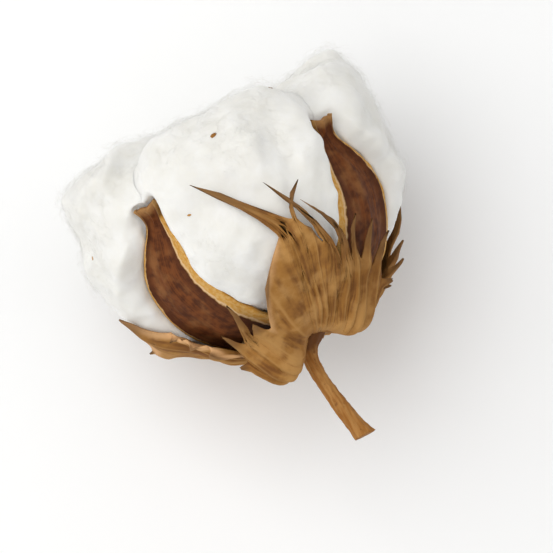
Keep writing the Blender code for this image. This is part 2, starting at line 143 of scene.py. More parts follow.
def wander(point: Vector, size: float, shift: float = 0.0) -> float:
    """Smooth noise from about -1 to 1.

    Args:
        point: Where to read the noise, in metres.
        size: How far apart its swells are, in metres.
        shift: Moves the noise, so that two readings differ.

    Returns:
        The noise there.
    """
    return noise.noise(point / size + Vector((shift, 2.0 * shift, -shift)))


def ripple(point: Vector, *waves: Wave, shift: float = 0.0) -> float:
    """A height made of layers of smooth noise.

    Args:
        point: Where to read it, in metres.
        waves: The height, the size and the shift of each layer.
        shift: Moves them all.

    Returns:
        The height, in metres.
    """
    return sum(height * wander(point, size, shift + more) for height, size, more in waves)


class Line:
    """A smooth line of (radius, height) points beside the axis, read by its own length."""

    STEPS = 12

    def __init__(self, points: Table) -> None:
        """Lays the line through its points.

        Args:
            points: Radius from the axis and height along it, in order.
        """
        fine = [i / self.STEPS for i in range(self.STEPS * (len(points) - 1) + 1)]
        self.radii, self.heights = (
            np.array([from_table([(i, p[k]) for i, p in enumerate(points)], at) for at in fine])
            for k in (0, 1)
        )
        steps = np.hypot(np.diff(self.radii), np.diff(self.heights))
        self.along = np.concatenate([[0.0], np.cumsum(steps)])
        self.length = float(self.along[-1])

    def at(self, distance: float) -> tuple[float, float, tuple[float, float]]:
        """A point of the line.

        Args:
            distance: How far along the line.

        Returns:
            Radius, height, and the outward normal as its radius and height parts.
        """
        distance = min(max(distance, 0.0), self.length)
        i = min(int(np.searchsorted(self.along, distance, side="right")) - 1, len(self.along) - 2)
        step = float(self.along[i + 1] - self.along[i])
        t = (distance - float(self.along[i])) / step
        rise = float(self.heights[i + 1] - self.heights[i])
        run = float(self.radii[i + 1] - self.radii[i])
        normal = (rise / step, -run / step)
        return float(self.radii[i]) + run * t, float(self.heights[i]) + rise * t, normal


@dataclass(frozen=True)
class Axis:
    """The boll's axis, read from where the model's stalk sits."""

    origin: Vector

    @classmethod
    def from_stalk(
        cls, node: str = "stalk", top_gap: float = 0.4 * MM, end_depth: float = 0.3 * MM
    ) -> "Axis":
        """Reads the axis from the stalk's upper end, which is round.

        Args:
            node: The stalk's node.
            top_gap: How far the stalk's top is below the bur's base.
            end_depth: How far below its top the stalk still counts as its end.

        Returns:
            The axis, whose origin is the bur's base.
        """
        spots = [vertex.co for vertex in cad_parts[node].data.vertices]
        top = max(spot.y for spot in spots)
        end = [spot for spot in spots if spot.y > top - end_depth]
        x, z = ((min(s[k] for s in end) + max(s[k] for s in end)) / 2 for k in (0, 2))
        return cls(Vector((x, top + top_gap, z)))

    def around(self, azimuth: float, radius: float, height: float) -> Vector:
        """The point at an azimuth, a distance from the axis and a height along it."""
        turn = math.radians(azimuth)
        return self.origin + Vector((radius * math.sin(turn), height, radius * math.cos(turn)))

    def outward(self, azimuth: float) -> Vector:
        """The direction straight away from the axis at an azimuth."""
        turn = math.radians(azimuth)
        return Vector((math.sin(turn), 0.0, math.cos(turn)))

    def azimuth_of(self, point: Vector) -> float:
        """The azimuth of a point."""
        return math.degrees(math.atan2(point.x - self.origin.x, point.z - self.origin.z))


class Wire:
    """An output in a node tree, on which Python's operators add Math nodes."""

    def __init__(self, tree: "Tree", socket: bpy.types.NodeSocket) -> None:
        """Wraps a socket.

        Args:
            tree: The tree that the socket is in.
            socket: The output that is wrapped.
        """
        self.tree = tree
        self.socket = socket

    def sibling(self, output: str) -> "Wire":
        """Another output of the same node."""
        return Wire(self.tree, self.socket.node.outputs[output])

    def maths(self, operation: str, *others: "Wire | float") -> "Wire":
        """The result of a Math node on this output and others."""
        return self.tree.maths(operation, self, *others)

    def __add__(self, other: "Wire | float") -> "Wire":
        """The sum."""
        return self.maths("ADD", other)

    def __sub__(self, other: "Wire | float") -> "Wire":
        """The difference."""
        return self.maths("SUBTRACT", other)

    def __rsub__(self, other: float) -> "Wire":
        """The difference, with this output taken away."""
        return self.tree.maths("SUBTRACT", other, self)

    def __mul__(self, other: "Wire | float") -> "Wire":
        """The product."""
        return self.maths("MULTIPLY", other)

    __radd__ = __add__
    __rmul__ = __mul__

    def rise(self, low: float, high: float) -> "Wire":
        """A smooth step from 0 at low to 1 at high, which may be below low."""
        inputs = {"Value": self, "From Min": low, "From Max": high}
        return self.tree.node("ShaderNodeMapRange", {"interpolation_type": "SMOOTHSTEP"}, inputs)


class Tree:
    """A node tree that is built in the script."""

    def __init__(self, tree: bpy.types.NodeTree) -> None:
        """Holds Blender's own tree."""
        self.tree = tree

    def join(self, value: object, socket: bpy.types.NodeSocket) -> None:
        """Links a wire to a socket, or gives the socket a value.

        Args:
            value: The wire or value, in which a colour has no alpha.
            socket: The input.
        """
        if isinstance(value, Wire):
            self.tree.links.new(value.socket, socket)
        elif socket.type == "RGBA":
            socket.default_value = (*value, 1.0)
        else:
            socket.default_value = value

    def node(
        self,
        kind: str,
        settings: dict[str, object],
        inputs: dict[str | int, object],
        output: str | int = 0,
    ) -> Wire:
        """Adds a node.

        Args:
            kind: The node's type.
            settings: Its properties, which are set first.
            inputs: Values or wires for its sockets, by name or number.
            output: The output that is wanted.

        Returns:
            That output.
        """
        made = self.tree.nodes.new(kind)
        for key, value in settings.items():
            setattr(made, key, value)
        for key, value in inputs.items():
            self.join(value, made.inputs[key])
        return Wire(self, made.outputs[output])

    def maths(self, operation: str, *values: Wire | float) -> Wire:
        """The result of a Math node."""
        return self.node("ShaderNodeMath", {"operation": operation}, dict(enumerate(values)))


class Dye(Tree):
    """One material's node tree, with its Principled BSDF."""

    def __init__(self, name: str) -> None:
        """Makes the material.

        Args:
            name: The material's name.
        """
        self.material = bpy.data.materials.new(name)
        self.material.use_nodes = True
        super().__init__(self.material.node_tree)
        self.shader = self.tree.nodes["Principled BSDF"]
        self.place = self.node("ShaderNodeTexCoord", {}, {}, "Object")

    def stretched(self, scale: Colour, turn: Colour = (0.0, 0.0, 0.0)) -> Wire:
        """The place on the piece, scaled along each axis and turned about it, in radians."""
        inputs = {"Vector": self.place, "Scale": scale, "Rotation": turn}
        return self.node("ShaderNodeMapping", {}, inputs)

    def cloud(self, size: float, detail: float = 4.0, at: Wire | None = None) -> Wire:
        """Soft noise from 0 to 1.

        Args:
            size: How far apart its swells are, in the units of the place.
            detail: How many finer layers it has.
            at: The place that it is read at, which is otherwise the place on the piece.

        Returns:
            The noise.
        """
        inputs = {"Vector": at or self.place, "Scale": 1.0 / size, "Detail": detail}
        return self.node("ShaderNodeTexNoise", {}, inputs)

    def attribute(self, name: str) -> Wire:
        """A number that the mesh carries at its points."""
        return self.node("ShaderNodeAttribute", {"attribute_name": name}, {}, "Fac")

    def split(self, vector: Wire) -> Wire:
        """The X part of a vector, whose siblings are its other parts."""
        return self.node("ShaderNodeSeparateXYZ", {}, {0: vector}, "X")

    def uv(self) -> tuple[Wire, Wire]:
        """The two coordinates of the piece's own UV map."""
        along = self.split(self.node("ShaderNodeUVMap", {"uv_map": "UVMap"}, {}))
        return along, along.sibling("Y")

    def streaks(self, along: float, across: float) -> Wire:
        """Noise in streaks that run along the piece's own UV map.

        Args:
            along: How many there are along it.
            across: How many there are across it.

        Returns:
            The noise.
        """
        u, v = self.uv()
        place = self.node("ShaderNodeCombineXYZ", {}, {"X": u * along, "Y": v * across})
        return self.cloud(1.0, 5.0, place)

    def mix(self, share: Wire | float, first: Wire | Colour, second: Wire | Colour) -> Wire:
        """Mixes two colours.

        Args:
            share: How much of the second there is.
            first: The colour at 0.
            second: The colour at 1.

        Returns:
            The mixed colour.
        """
        made = self.tree.nodes.new("ShaderNodeMix")
        made.data_type = "RGBA"
        sockets = {socket.identifier: socket for socket in (*made.inputs, *made.outputs)}
        for key, value in (("A_Color", first), ("B_Color", second), ("Factor_Float", share)):
            self.join(value, sockets[key])
        return Wire(self, sockets["Result_Color"])

    def wear(self, **inputs: object) -> None:
        """Gives the shader's sockets, named with _ for each space, values or wires."""
        for key, value in inputs.items():
            self.join(value, self.shader.inputs[key.replace("_", " ")])

    def relief(self, height: Wire, depth: float, strength: float = 1.0) -> None:
        """Gives the surface a fine relief.

        Args:
            height: The relief's height, from 0 to 1.
            depth: How deep it is, in metres.
            strength: How much of it is felt.
        """
        inputs = {"Height": height, "Distance": depth, "Strength": strength}
        self.wear(Normal=self.node("ShaderNodeBump", {}, inputs))


@dataclass(frozen=True)
class LintFinish:
    """Clean white fibre, matt and soft, with warmer hollows."""

    white: Colour = (0.83, 0.822, 0.79)
    hollow: Colour = (0.79, 0.777, 0.73)
    depth: float = 0.35 * MM

    def material(self) -> bpy.types.Material:
        """Makes the material.

        Returns:
            The material.
        """
        dye = Dye("lint")
        clumps = dye.cloud(5.0 * MM, 3.0)
        strands = dye.cloud(1.6 * MM, 6.0, dye.stretched((1.0, 0.35, 1.6), (0.5, 0.2, 0.7)))
        wisps = dye.cloud(0.9 * MM, 5.0, dye.stretched((0.4, 1.5, 1.0), (0.1, 0.9, 0.4)))
        dye.wear(
            Base_Color=dye.mix(clumps.rise(0.35, 0.7), self.hollow, self.white),
            Roughness=1.0,
            Subsurface_Weight=0.45,
            Subsurface_Radius=(1.0, 0.97, 0.9),
            Subsurface_Scale=1.2 * MM,
            Sheen_Weight=0.35,
            Sheen_Roughness=0.6,
            Specular_IOR_Level=0.15,
        )
        dye.relief(clumps * 0.3 + strands * 0.4 + wisps * 0.3, self.depth, 0.35)
        return dye.material


@dataclass(frozen=True)
class HuskFinish:
    """The bur: mahogany skin with a fine grain, a golden margin where the skin ends, painted shade at
    the valves' feet and a painted highlight along the skin's edge.
    """

    skin: Colour = (0.17, 0.052, 0.014)
    dark: Colour = (0.07, 0.02, 0.007)
    pale: Colour = (0.26, 0.108, 0.036)
    foot_shade: Colour = (0.03, 0.009, 0.004)
    margin: Colour = (0.58, 0.28, 0.048)
    cream: Colour = (0.66, 0.41, 0.14)
    # The colour of the painted highlight along the skin's edge.
    line: Colour = (0.72, 0.52, 0.32)
    fork: Colour = (0.42, 0.22, 0.08)
    beak_span: tuple[float, float] = (0.9, 0.93)
    fork_span: tuple[float, float] = (0.95, 1.0)
    foot_shade_span: tuple[float, float] = (0.4, 0.16)
    highlight_line_span: tuple[float, float] = (0.075, 0.035)
    depth: float = 0.14 * MM

    def skinned(self) -> bpy.types.Material:
        """Makes the skin, whose UV map runs along the valve and across it.

        Returns:
            The material.
        """
        dye = Dye("husk_skin")
        along, _ = dye.uv()
        grain = dye.streaks(3.0, 46.0)
        blotch = dye.cloud(4.5 * MM)
        fine = dye.cloud(0.7 * MM)
        mottle = dye.cloud(1.6 * MM)
        edge = dye.attribute("margin") + (mottle - 0.5) * 0.12
        body = dye.mix((grain * 0.4 + mottle * 0.6).rise(0.36, 0.62), self.dark, self.skin)
        body = dye.mix(blotch.rise(0.48, 0.72) * 0.7, body, self.pale)
        body = dye.mix(edge.rise(-0.3, -0.02) * 0.7, body, self.dark)
        # Painted shade: the valve darkens to near black towards its foot, where it goes under the
        # bracts.
        body = dye.mix(along.rise(*self.foot_shade_span) * 0.85, body, self.foot_shade)
        at_margin = edge.rise(-0.02, 0.03)
        gold = dye.mix(fine.rise(0.35, 0.7), self.margin, self.cream)
        # Painted highlight: a pale line along the skin's edge, where the golden margin begins.
        gold = dye.mix(at_margin * edge.rise(*self.highlight_line_span) * 0.7, gold, self.line)
        at_beak = (along + (fine - 0.5) * 0.04).rise(*self.beak_span)
        at_fork = (along + (fine - 0.5) * 0.03).rise(*self.fork_span)
        body = dye.mix(at_fork * 0.75, body, self.fork)
        dye.wear(
            Base_Color=dye.mix(at_margin * (1.0 - at_beak * 0.75), body, gold),
            Roughness=0.55 + 0.3 * grain,
            Specular_IOR_Level=0.12,
        )
        dye.relief(grain * 0.4 + mottle * 0.35 + fine * 0.25, self.depth, 0.5)
        return dye.material

    def lining(self) -> bpy.types.Material:
        """Makes the smooth golden inside of the bur.

        Returns:
            The material.
        """
        dye = Dye("husk_lining")
        mottle = dye.cloud(2.2 * MM)
        dye.wear(
            Base_Color=dye.mix(mottle.rise(0.3, 0.7), self.margin, self.cream),
            Roughness=0.5 + 0.2 * mottle,
            Specular_IOR_Level=0.2,
        )
        dye.relief(dye.cloud(0.5 * MM, 3.0), 0.08 * MM, 0.4)
        return dye.material


@dataclass(frozen=True)
class LeafFinish:
    """A dried bract: tan, streaked along its veins, greyer towards the tips of the teeth, with painted
    shade that makes it browner towards +X.
    """

    tan: Colour = (0.36, 0.165, 0.038)
    light: Colour = (0.52, 0.28, 0.09)
    brown: Colour = (0.18, 0.07, 0.018)
    tip: Colour = (0.19, 0.095, 0.036)
    rim: Colour = (0.68, 0.39, 0.18)
    painted_shade_span: tuple[float, float] = (6.0 * MM, 20.0 * MM)
    depth: float = 0.28 * MM

    def material(self) -> bpy.types.Material:
        """Makes the material, whose UV map runs along the bract and across it.

        Returns:
            The material.
        """
        dye = Dye("bract")
        streak = dye.streaks(2.5, 60.0)
        blotch = dye.cloud(6.0 * MM, 5.0)
        patch = dye.cloud(2.4 * MM, 5.0)
        net = dye.cloud(0.8 * MM)
        sideways = dye.split(dye.place)
        at_rim = dye.attribute("rim") + (patch - 0.5) * 0.5
        at_tip = dye.attribute("tooth") + (streak - 0.5) * 0.5
        body = dye.mix((streak * 0.75 + patch * 0.25).rise(0.33, 0.55), self.brown, self.tan)
        body = dye.mix(blotch.rise(0.44, 0.62) * 0.8, body, self.light)
        body = dye.mix(blotch.rise(0.46, 0.32) * 0.5, body, self.brown)
        # Painted shade: the bracts turn browner towards +X, the side away from the key light.
        body = dye.mix(sideways.rise(*self.painted_shade_span) * 0.5, body, self.brown)
        body = dye.mix(dye.attribute("vein").rise(0.55, 1.0) * 0.5, body, self.light)
        body = dye.mix(at_rim.rise(0.2, 0.9), body, self.rim)
        body = dye.mix(at_tip.rise(0.0, 0.7) * 0.8, body, self.tip)
        dye.wear(Base_Color=body, Roughness=0.62 + 0.25 * streak, Specular_IOR_Level=0.12)
        dye.relief(streak * 0.35 + net * 0.35 + patch * 0.3, self.depth, 0.6)
        return dye.material


@dataclass(frozen=True)
class BarkFinish:
    """The stalk's skin: orange-brown, streaked lengthways, darker at the receptacle."""

    orange: Colour = (0.29, 0.112, 0.02)
    pale: Colour = (0.42, 0.21, 0.062)
    dark: Colour = (0.15, 0.056, 0.015)
    wood: Colour = (0.55, 0.37, 0.18)
    rings: float = 34.0
    pith_span: tuple[float, float] = (0.3, 0.12)
    rind_span: tuple[float, float] = (0.86, 0.97)

    def bark(self) -> bpy.types.Material:
        """Makes the skin.

        Returns:
            The material.
        """
        dye = Dye("bark")
        streak = dye.cloud(0.9 * MM, 5.0, dye.stretched((1.0, 0.09, 1.0)))
        speck = dye.cloud(1.1 * MM, 3.0)
        collar = dye.attribute("collar") + (speck - 0.5) * 0.5
        body = dye.mix(streak.rise(0.35, 0.7), self.orange, self.pale)
        body = dye.mix(speck.rise(0.62, 0.75) * 0.6, body, self.dark)
        body = dye.mix(collar.rise(0.25, 0.9), body, self.dark)
        dye.wear(Base_Color=body, Roughness=0.55 + 0.3 * streak, Specular_IOR_Level=0.15)
        dye.relief(streak * 0.7 + speck * 0.3, 0.15 * MM, 0.7)
        return dye.material

    def cut(self) -> bpy.types.Material:
        """Makes the cut end: pale wood in rings round a darker pith.

        Returns:
            The material.
        """
        dye = Dye("cut_end")
        ring = dye.attribute("ring")
        grain = dye.cloud(0.35 * MM)
        waves = (ring * self.rings + grain * 4.0).maths("SINE")
        wood = dye.mix(waves.rise(-1.0, 1.0) * 0.5, self.wood, self.orange)
        wood = dye.mix(ring.rise(*self.pith_span), wood, self.dark)
        wood = dye.mix(ring.rise(*self.rind_span), wood, self.dark)
        dye.wear(Base_Color=wood, Roughness=0.85)
        dye.relief(grain, 0.12 * MM, 0.8)
        return dye.material


@dataclass(frozen=True)
class FloorFinish:
    """A plain pale surface with the faintest tooth."""

    white: Colour = (0.92, 0.92, 0.915)

    def material(self) -> bpy.types.Material:
        """Makes the material.

        Returns:
            The material.
        """
        dye = Dye("floor")
        dye.wear(Base_Color=self.white, Roughness=0.85, Specular_IOR_Level=0.2)
        dye.relief(dye.cloud(2.0 * MM), 0.05 * MM, 0.2)
        return dye.material


def add_object(name: str, data: bpy.types.ID) -> bpy.types.Object:
    """Adds an object to the scene.

    Args:
        name: The object's name.
        data: Its mesh, camera or light.

    Returns:
        The object.
    """
    made = bpy.data.objects.new(name, data)
    bpy.context.scene.collection.objects.link(made)
    return made


def add_piece(name: str, mesh: bpy.types.Mesh, *finishes: bpy.types.Material) -> bpy.types.Object:
    """Adds an object for a mesh, with its finishes, shaded smooth.

    Args:
        name: The piece's name.
        mesh: Its mesh.
        finishes: Its materials, in the order of the mesh's material numbers.

    Returns:
        The object.
    """
    mesh.materials.clear()
    for finish in finishes:
        mesh.materials.append(finish)
    mesh.shade_smooth()
    return add_object(name, mesh)


def mesh_of(bm: bmesh.types.BMesh, name: str) -> bpy.types.Mesh:
    """A mesh of a bmesh, which is freed.

    Args:
        bm: The bmesh.
        name: The mesh's name.

    Returns:
        The mesh.
    """
    mesh = bpy.data.meshes.new(name)
    bm.to_mesh(mesh)
    bm.free()
    return mesh


def absorb(bm: bmesh.types.BMesh, mesh: bpy.types.Mesh) -> None:
    """Adds a mesh to a bmesh and removes it."""
    bm.from_mesh(mesh)
    bpy.data.meshes.remove(mesh)


def plain_mesh(piece: bpy.types.Object, name: str) -> bpy.types.Mesh:
    """A plain mesh of a piece with its modifiers, with the piece removed.

    Args:
        piece: The object that carries the modifiers.
        name: The new mesh's name.

    Returns:
        The mesh.
    """
    graph = bpy.context.evaluated_depsgraph_get()
    mesh = bpy.data.meshes.new_from_object(
        piece.evaluated_get(graph), preserve_all_data_layers=True, depsgraph=graph
    )
    mesh.name = name
    bpy.data.objects.remove(piece, do_unlink=True)
    return mesh


def in_order(mesh: bpy.types.Mesh) -> bpy.types.Mesh:
    """The same mesh with its points and faces sorted, because a boolean gives them in any order.

    Args:
        mesh: The mesh, which is removed.

    Returns:
        The sorted mesh.
    """
    points = np.array([vertex.co for vertex in mesh.vertices])
    order = np.lexsort(points.T)
    rank = np.argsort(order)
    faces = []
    for polygon in mesh.polygons:
        corners = [int(rank[i]) for i in polygon.vertices]
        first = corners.index(min(corners))
        faces.append(tuple(corners[first:] + corners[:first]))
    name = mesh.name
    bpy.data.meshes.remove(mesh)
    made = bpy.data.meshes.new(name)
    made.from_pydata(points[order].tolist(), [], sorted(faces))
    return made


def settle(piece: bpy.types.Object, slot: Slot, *nodes: str) -> bpy.types.Object:
    """Attaches a finished piece to what it rides on and hides the model's nodes that it replaces.

    Args:
        piece: The piece.
        slot: Not used.
        nodes: The model's nodes that it replaces.

    Returns:
        The piece.
    """
    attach(piece, BODY)
    if nodes:
        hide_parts(*nodes)
    triangles = sum(len(face.vertices) - 2 for face in piece.data.polygons)
    LOG.info("%s: %d triangles", piece.name, triangles)
    return piece


def search_tree(meshes: Sequence[bpy.types.Mesh]) -> BVHTree:
    """A search tree of several meshes' surfaces.

    Args:
        meshes: The meshes.

    Returns:
        The tree.
    """
    points: list[Vector] = []
    faces: list[list[int]] = []
    for mesh in meshes:
        start = len(points)
        points.extend(vertex.co.copy() for vertex in mesh.vertices)
        faces.extend([start + i for i in face.vertices] for face in mesh.polygons)
    return BVHTree.FromPolygons(points, faces)


def mark(mesh: bpy.types.Mesh, name: str, numbers: np.ndarray) -> None:
    """Gives a mesh a number at each point, as an attribute."""
    layer = mesh.attributes.new(name, "FLOAT", "POINT")
    layer.data.foreach_set("value", numbers.astype(np.float32).ravel())


def mesh_of_grid(
    name: str, grid: Sequence[Sequence[Vector]], outward: Vector, values: dict[str, np.ndarray]
) -> bpy.types.Mesh:
    """A mesh of a grid of points, with a UV map that runs along its rows and across them.

    Args:
        name: The mesh's name.
        grid: Rows of points.
        outward: The way that its faces point, on the whole.
        values: Numbers that the points carry, by name, row by row.

    Returns:
        The mesh.
    """
    rows, columns = len(grid), len(grid[0])
    points = [tuple(point) for row in grid for point in row]
    starts = [i * columns + j for i in range(rows - 1) for j in range(columns - 1)]
    mesh = bpy.data.meshes.new(name)
    mesh.from_pydata(points, [], [(s, s + 1, s + columns + 1, s + columns) for s in starts])
    total = sum((face.normal * face.area for face in mesh.polygons), Vector())
    if total.dot(outward) < 0:
        mesh.flip_normals()
    spread = mesh.uv_layers.new(name="UVMap")
    indices = np.empty(len(mesh.loops), dtype=np.int32)
    mesh.loops.foreach_get("vertex_index", indices)
    uv = np.stack([indices // columns / (rows - 1), indices % columns / (columns - 1)], axis=1)
    spread.data.foreach_set("uv", uv.astype(np.float32).ravel())
    for key, numbers in values.items():
        mark(mesh, key, numbers)
    return mesh


def thicken(piece: bpy.types.Object, wall: float, offset: float, inner: int = 0) -> None:
    """Gives an open surface a wall.

    Args:
        piece: The surface.
        wall: How thick the wall is.
        offset: 1 where it lies outside the surface, -1 where it lies inside.
        inner: How many materials further the inner face and the rim are.
    """
    shell = piece.modifiers.new("wall", "SOLIDIFY")
    shell.thickness = wall
    shell.offset = offset
    shell.use_even_offset = False
    shell.material_offset = inner
    shell.material_offset_rim = inner


class Growth(Tree):
    """A Geometry Nodes tree that is applied to a piece and taken off again."""

    def __init__(self, name: str) -> None:
        """Starts a tree with a geometry input and output.

        Args:
            name: The tree's name.
        """
        super().__init__(bpy.data.node_groups.new(name, "GeometryNodeTree"))
        for way in ("INPUT", "OUTPUT"):
            self.tree.interface.new_socket(
                "Geometry", in_out=way, socket_type="NodeSocketGeometry"
            )
        self.identifiers: dict[str, str] = {}
        self.entry = self.tree.nodes.new("NodeGroupInput")
        self.host = Wire(self, self.entry.outputs["Geometry"])

    def size(self, name: str, kind: str = "Float") -> Wire:
        """Adds a named input.

        Args:
            name: The input's name.
            kind: The kind of its socket.

        Returns:
            The input.
        """
        item = self.tree.interface.new_socket(
            name, in_out="INPUT", socket_type="NodeSocket" + kind
        )
        self.identifiers[name] = item.identifier
        return Wire(self, self.entry.outputs[name])

    def draw(self, low: float, high: float, seed: Wire) -> Wire:
        """A random number for each point, between low and high."""
        inputs = {"Min": low, "Max": high, "Seed": seed}
        return self.node("FunctionNodeRandomValue", {"data_type": "FLOAT"}, inputs, "Value")

    def vector(self, operation: str, inputs: dict[str | int, object]) -> Wire:
        """The result of a Vector Math node."""
        return self.node("ShaderNodeVectorMath", {"operation": operation}, inputs)

    def finish(self, geometry: Wire, material: Wire) -> None:
        """Ends the tree in Realize Instances and Set Material.

        Args:
            geometry: What has grown.
            material: The material input.
        """
        real = self.node("GeometryNodeRealizeInstances", {}, {0: geometry})
        dressed = self.node("GeometryNodeSetMaterial", {}, {0: real, "Material": material})
        self.join(dressed, self.tree.nodes.new("NodeGroupOutput").inputs["Geometry"])

    def grow(
        self, host: bpy.types.Object, name: str, sizes: dict[str, object]
    ) -> bpy.types.Mesh:
        """Applies the tree to a host object and takes the host away.

        Args:
            host: The object that the growth starts from.
            name: The new mesh's name.
            sizes: Values of the named inputs.

        Returns:
            A plain mesh of what grew.
        """
        modifier = host.modifiers.new(name, "NODES")
        modifier.node_group = self.tree
        for key, value in sizes.items():
            modifier[self.identifiers[key]] = value
        return plain_mesh(host, name)


@dataclass(frozen=True)
class Fibres:
    """Loose fibres that stand out of a surface of lint, each a fine three-sided strand."""

    per_m2: float = 1.15e6
    length: float = 4.8 * MM
    arch: float = 1.3 * MM
    radius: float = 0.016 * MM
    curl: float = 2.6 * MM
    curl_size: float = 2.6 * MM
    root: float = -0.2 * MM
    crest_at: float = 0.45
    tip_rise: float = 0.15
    shortest: float = 0.35
    longest: float = 1.15
    segments: int = 7
    spare: float = 1.0 * MM

    def growth(self) -> Growth:
        """Builds the tree: points on the surface, an arched strand on each, curled by noise.

        Returns:
            The growth, with its sizes as named inputs.
        """
        growth = Growth("lint_fibres")
        density, length, arch, radius, curl, fineness = (
            growth.size(name)
            for name in ("Density", "Length", "Arch", "Radius", "Curl", "Curl Fineness")
        )
        low, high = (growth.size(name, "Vector") for name in ("Low Corner", "High Corner"))
        seed = growth.size("Seed", "Int")
        material = growth.size("Finish", "Material")
        bare = growth.node(
            "GeometryNodeInputNamedAttribute", {"data_type": "FLOAT"}, {"Name": "open"}
        )
        points = growth.node(
            "GeometryNodeDistributePointsOnFaces",
            {"distribute_method": "RANDOM"},
            {"Mesh": growth.host, "Density": density * bare, "Seed": seed},
            "Points",
        )
        middle = growth.node("ShaderNodeCombineXYZ", {}, {"X": length * self.crest_at, "Z": arch})
        far = growth.node("ShaderNodeCombineXYZ", {}, {"X": length, "Z": arch * self.tip_rise})
        strand = growth.node(
            "GeometryNodeCurveQuadraticBezier",
            {},
            {"Resolution": self.segments, "Start": (0.0, 0.0, self.root), "Middle": middle, "End": far},
        )
        about = growth.node(
            "FunctionNodeAxisAngleToRotation",
            {},
            {"Axis": (0.0, 0.0, 1.0), "Angle": growth.draw(0.0, math.tau, seed + 1.0)},
        )
        way = growth.node(
            "FunctionNodeRotateRotation",
            {"rotation_space": "LOCAL"},
            {"Rotation": points.sibling("Rotation"), "Rotate By": about},
        )
        scale = growth.draw(self.shortest, self.longest, seed + 2.0) * bare
        strands = growth.node(
            "GeometryNodeInstanceOnPoints",
            {},
            {"Points": points, "Instance": strand, "Rotation": way, "Scale": scale},
        )
        loose = growth.node("GeometryNodeRealizeInstances", {}, {0: strands})
        field = growth.node(
            "ShaderNodeTexNoise",
            {"noise_dimensions": "3D"},
            {"Scale": fineness, "Detail": 1.0},
            "Color",
        )
        centred = growth.vector("SUBTRACT", {0: field, 1: (0.5, 0.5, 0.5)})
        reach = growth.node("GeometryNodeSplineParameter", {}, {}, "Factor") * curl
        shift = growth.vector("SCALE", {0: centred, "Scale": reach})
        curled = growth.node("GeometryNodeSetPosition", {}, {0: loose, "Offset": shift})
        above = growth.vector(
            "MAXIMUM", {0: growth.node("GeometryNodeInputPosition", {}, {}), 1: low}
        )
        within = growth.vector("MINIMUM", {0: above, 1: high})
        kept = growth.node("GeometryNodeSetPosition", {}, {0: curled, "Position": within})
        ring = growth.node(
            "GeometryNodeCurvePrimitiveCircle",
            {"mode": "RADIUS"},
            {"Resolution": 3, "Radius": radius},
        )
        solid = growth.node(
            "GeometryNodeCurveToMesh",
            {},
            {"Curve": kept, "Profile Curve": ring, "Fill Caps": True},
        )
        growth.finish(solid, material)
        return growth

    def sizes(self, seed: int, material: bpy.types.Material) -> dict[str, object]:
        """The values of the tree's inputs.

        Args:
            seed: Fixes the random draws.
            material: The fibres' material.

        Returns:
            Value by input name.
        """
        low, high = CAD_BOX
        return {
            "Density": self.per_m2,
            "Length": self.length,
            "Arch": self.arch,
            "Radius": self.radius,
            "Curl": self.curl,
            "Curl Fineness": 1.0 / self.curl_size,
            "Low Corner": [side - self.spare for side in low[:2]] + [low[2] + self.spare / 10],
            "High Corner": [side + self.spare for side in high],
            "Seed": seed,
            "Finish": material,
        }


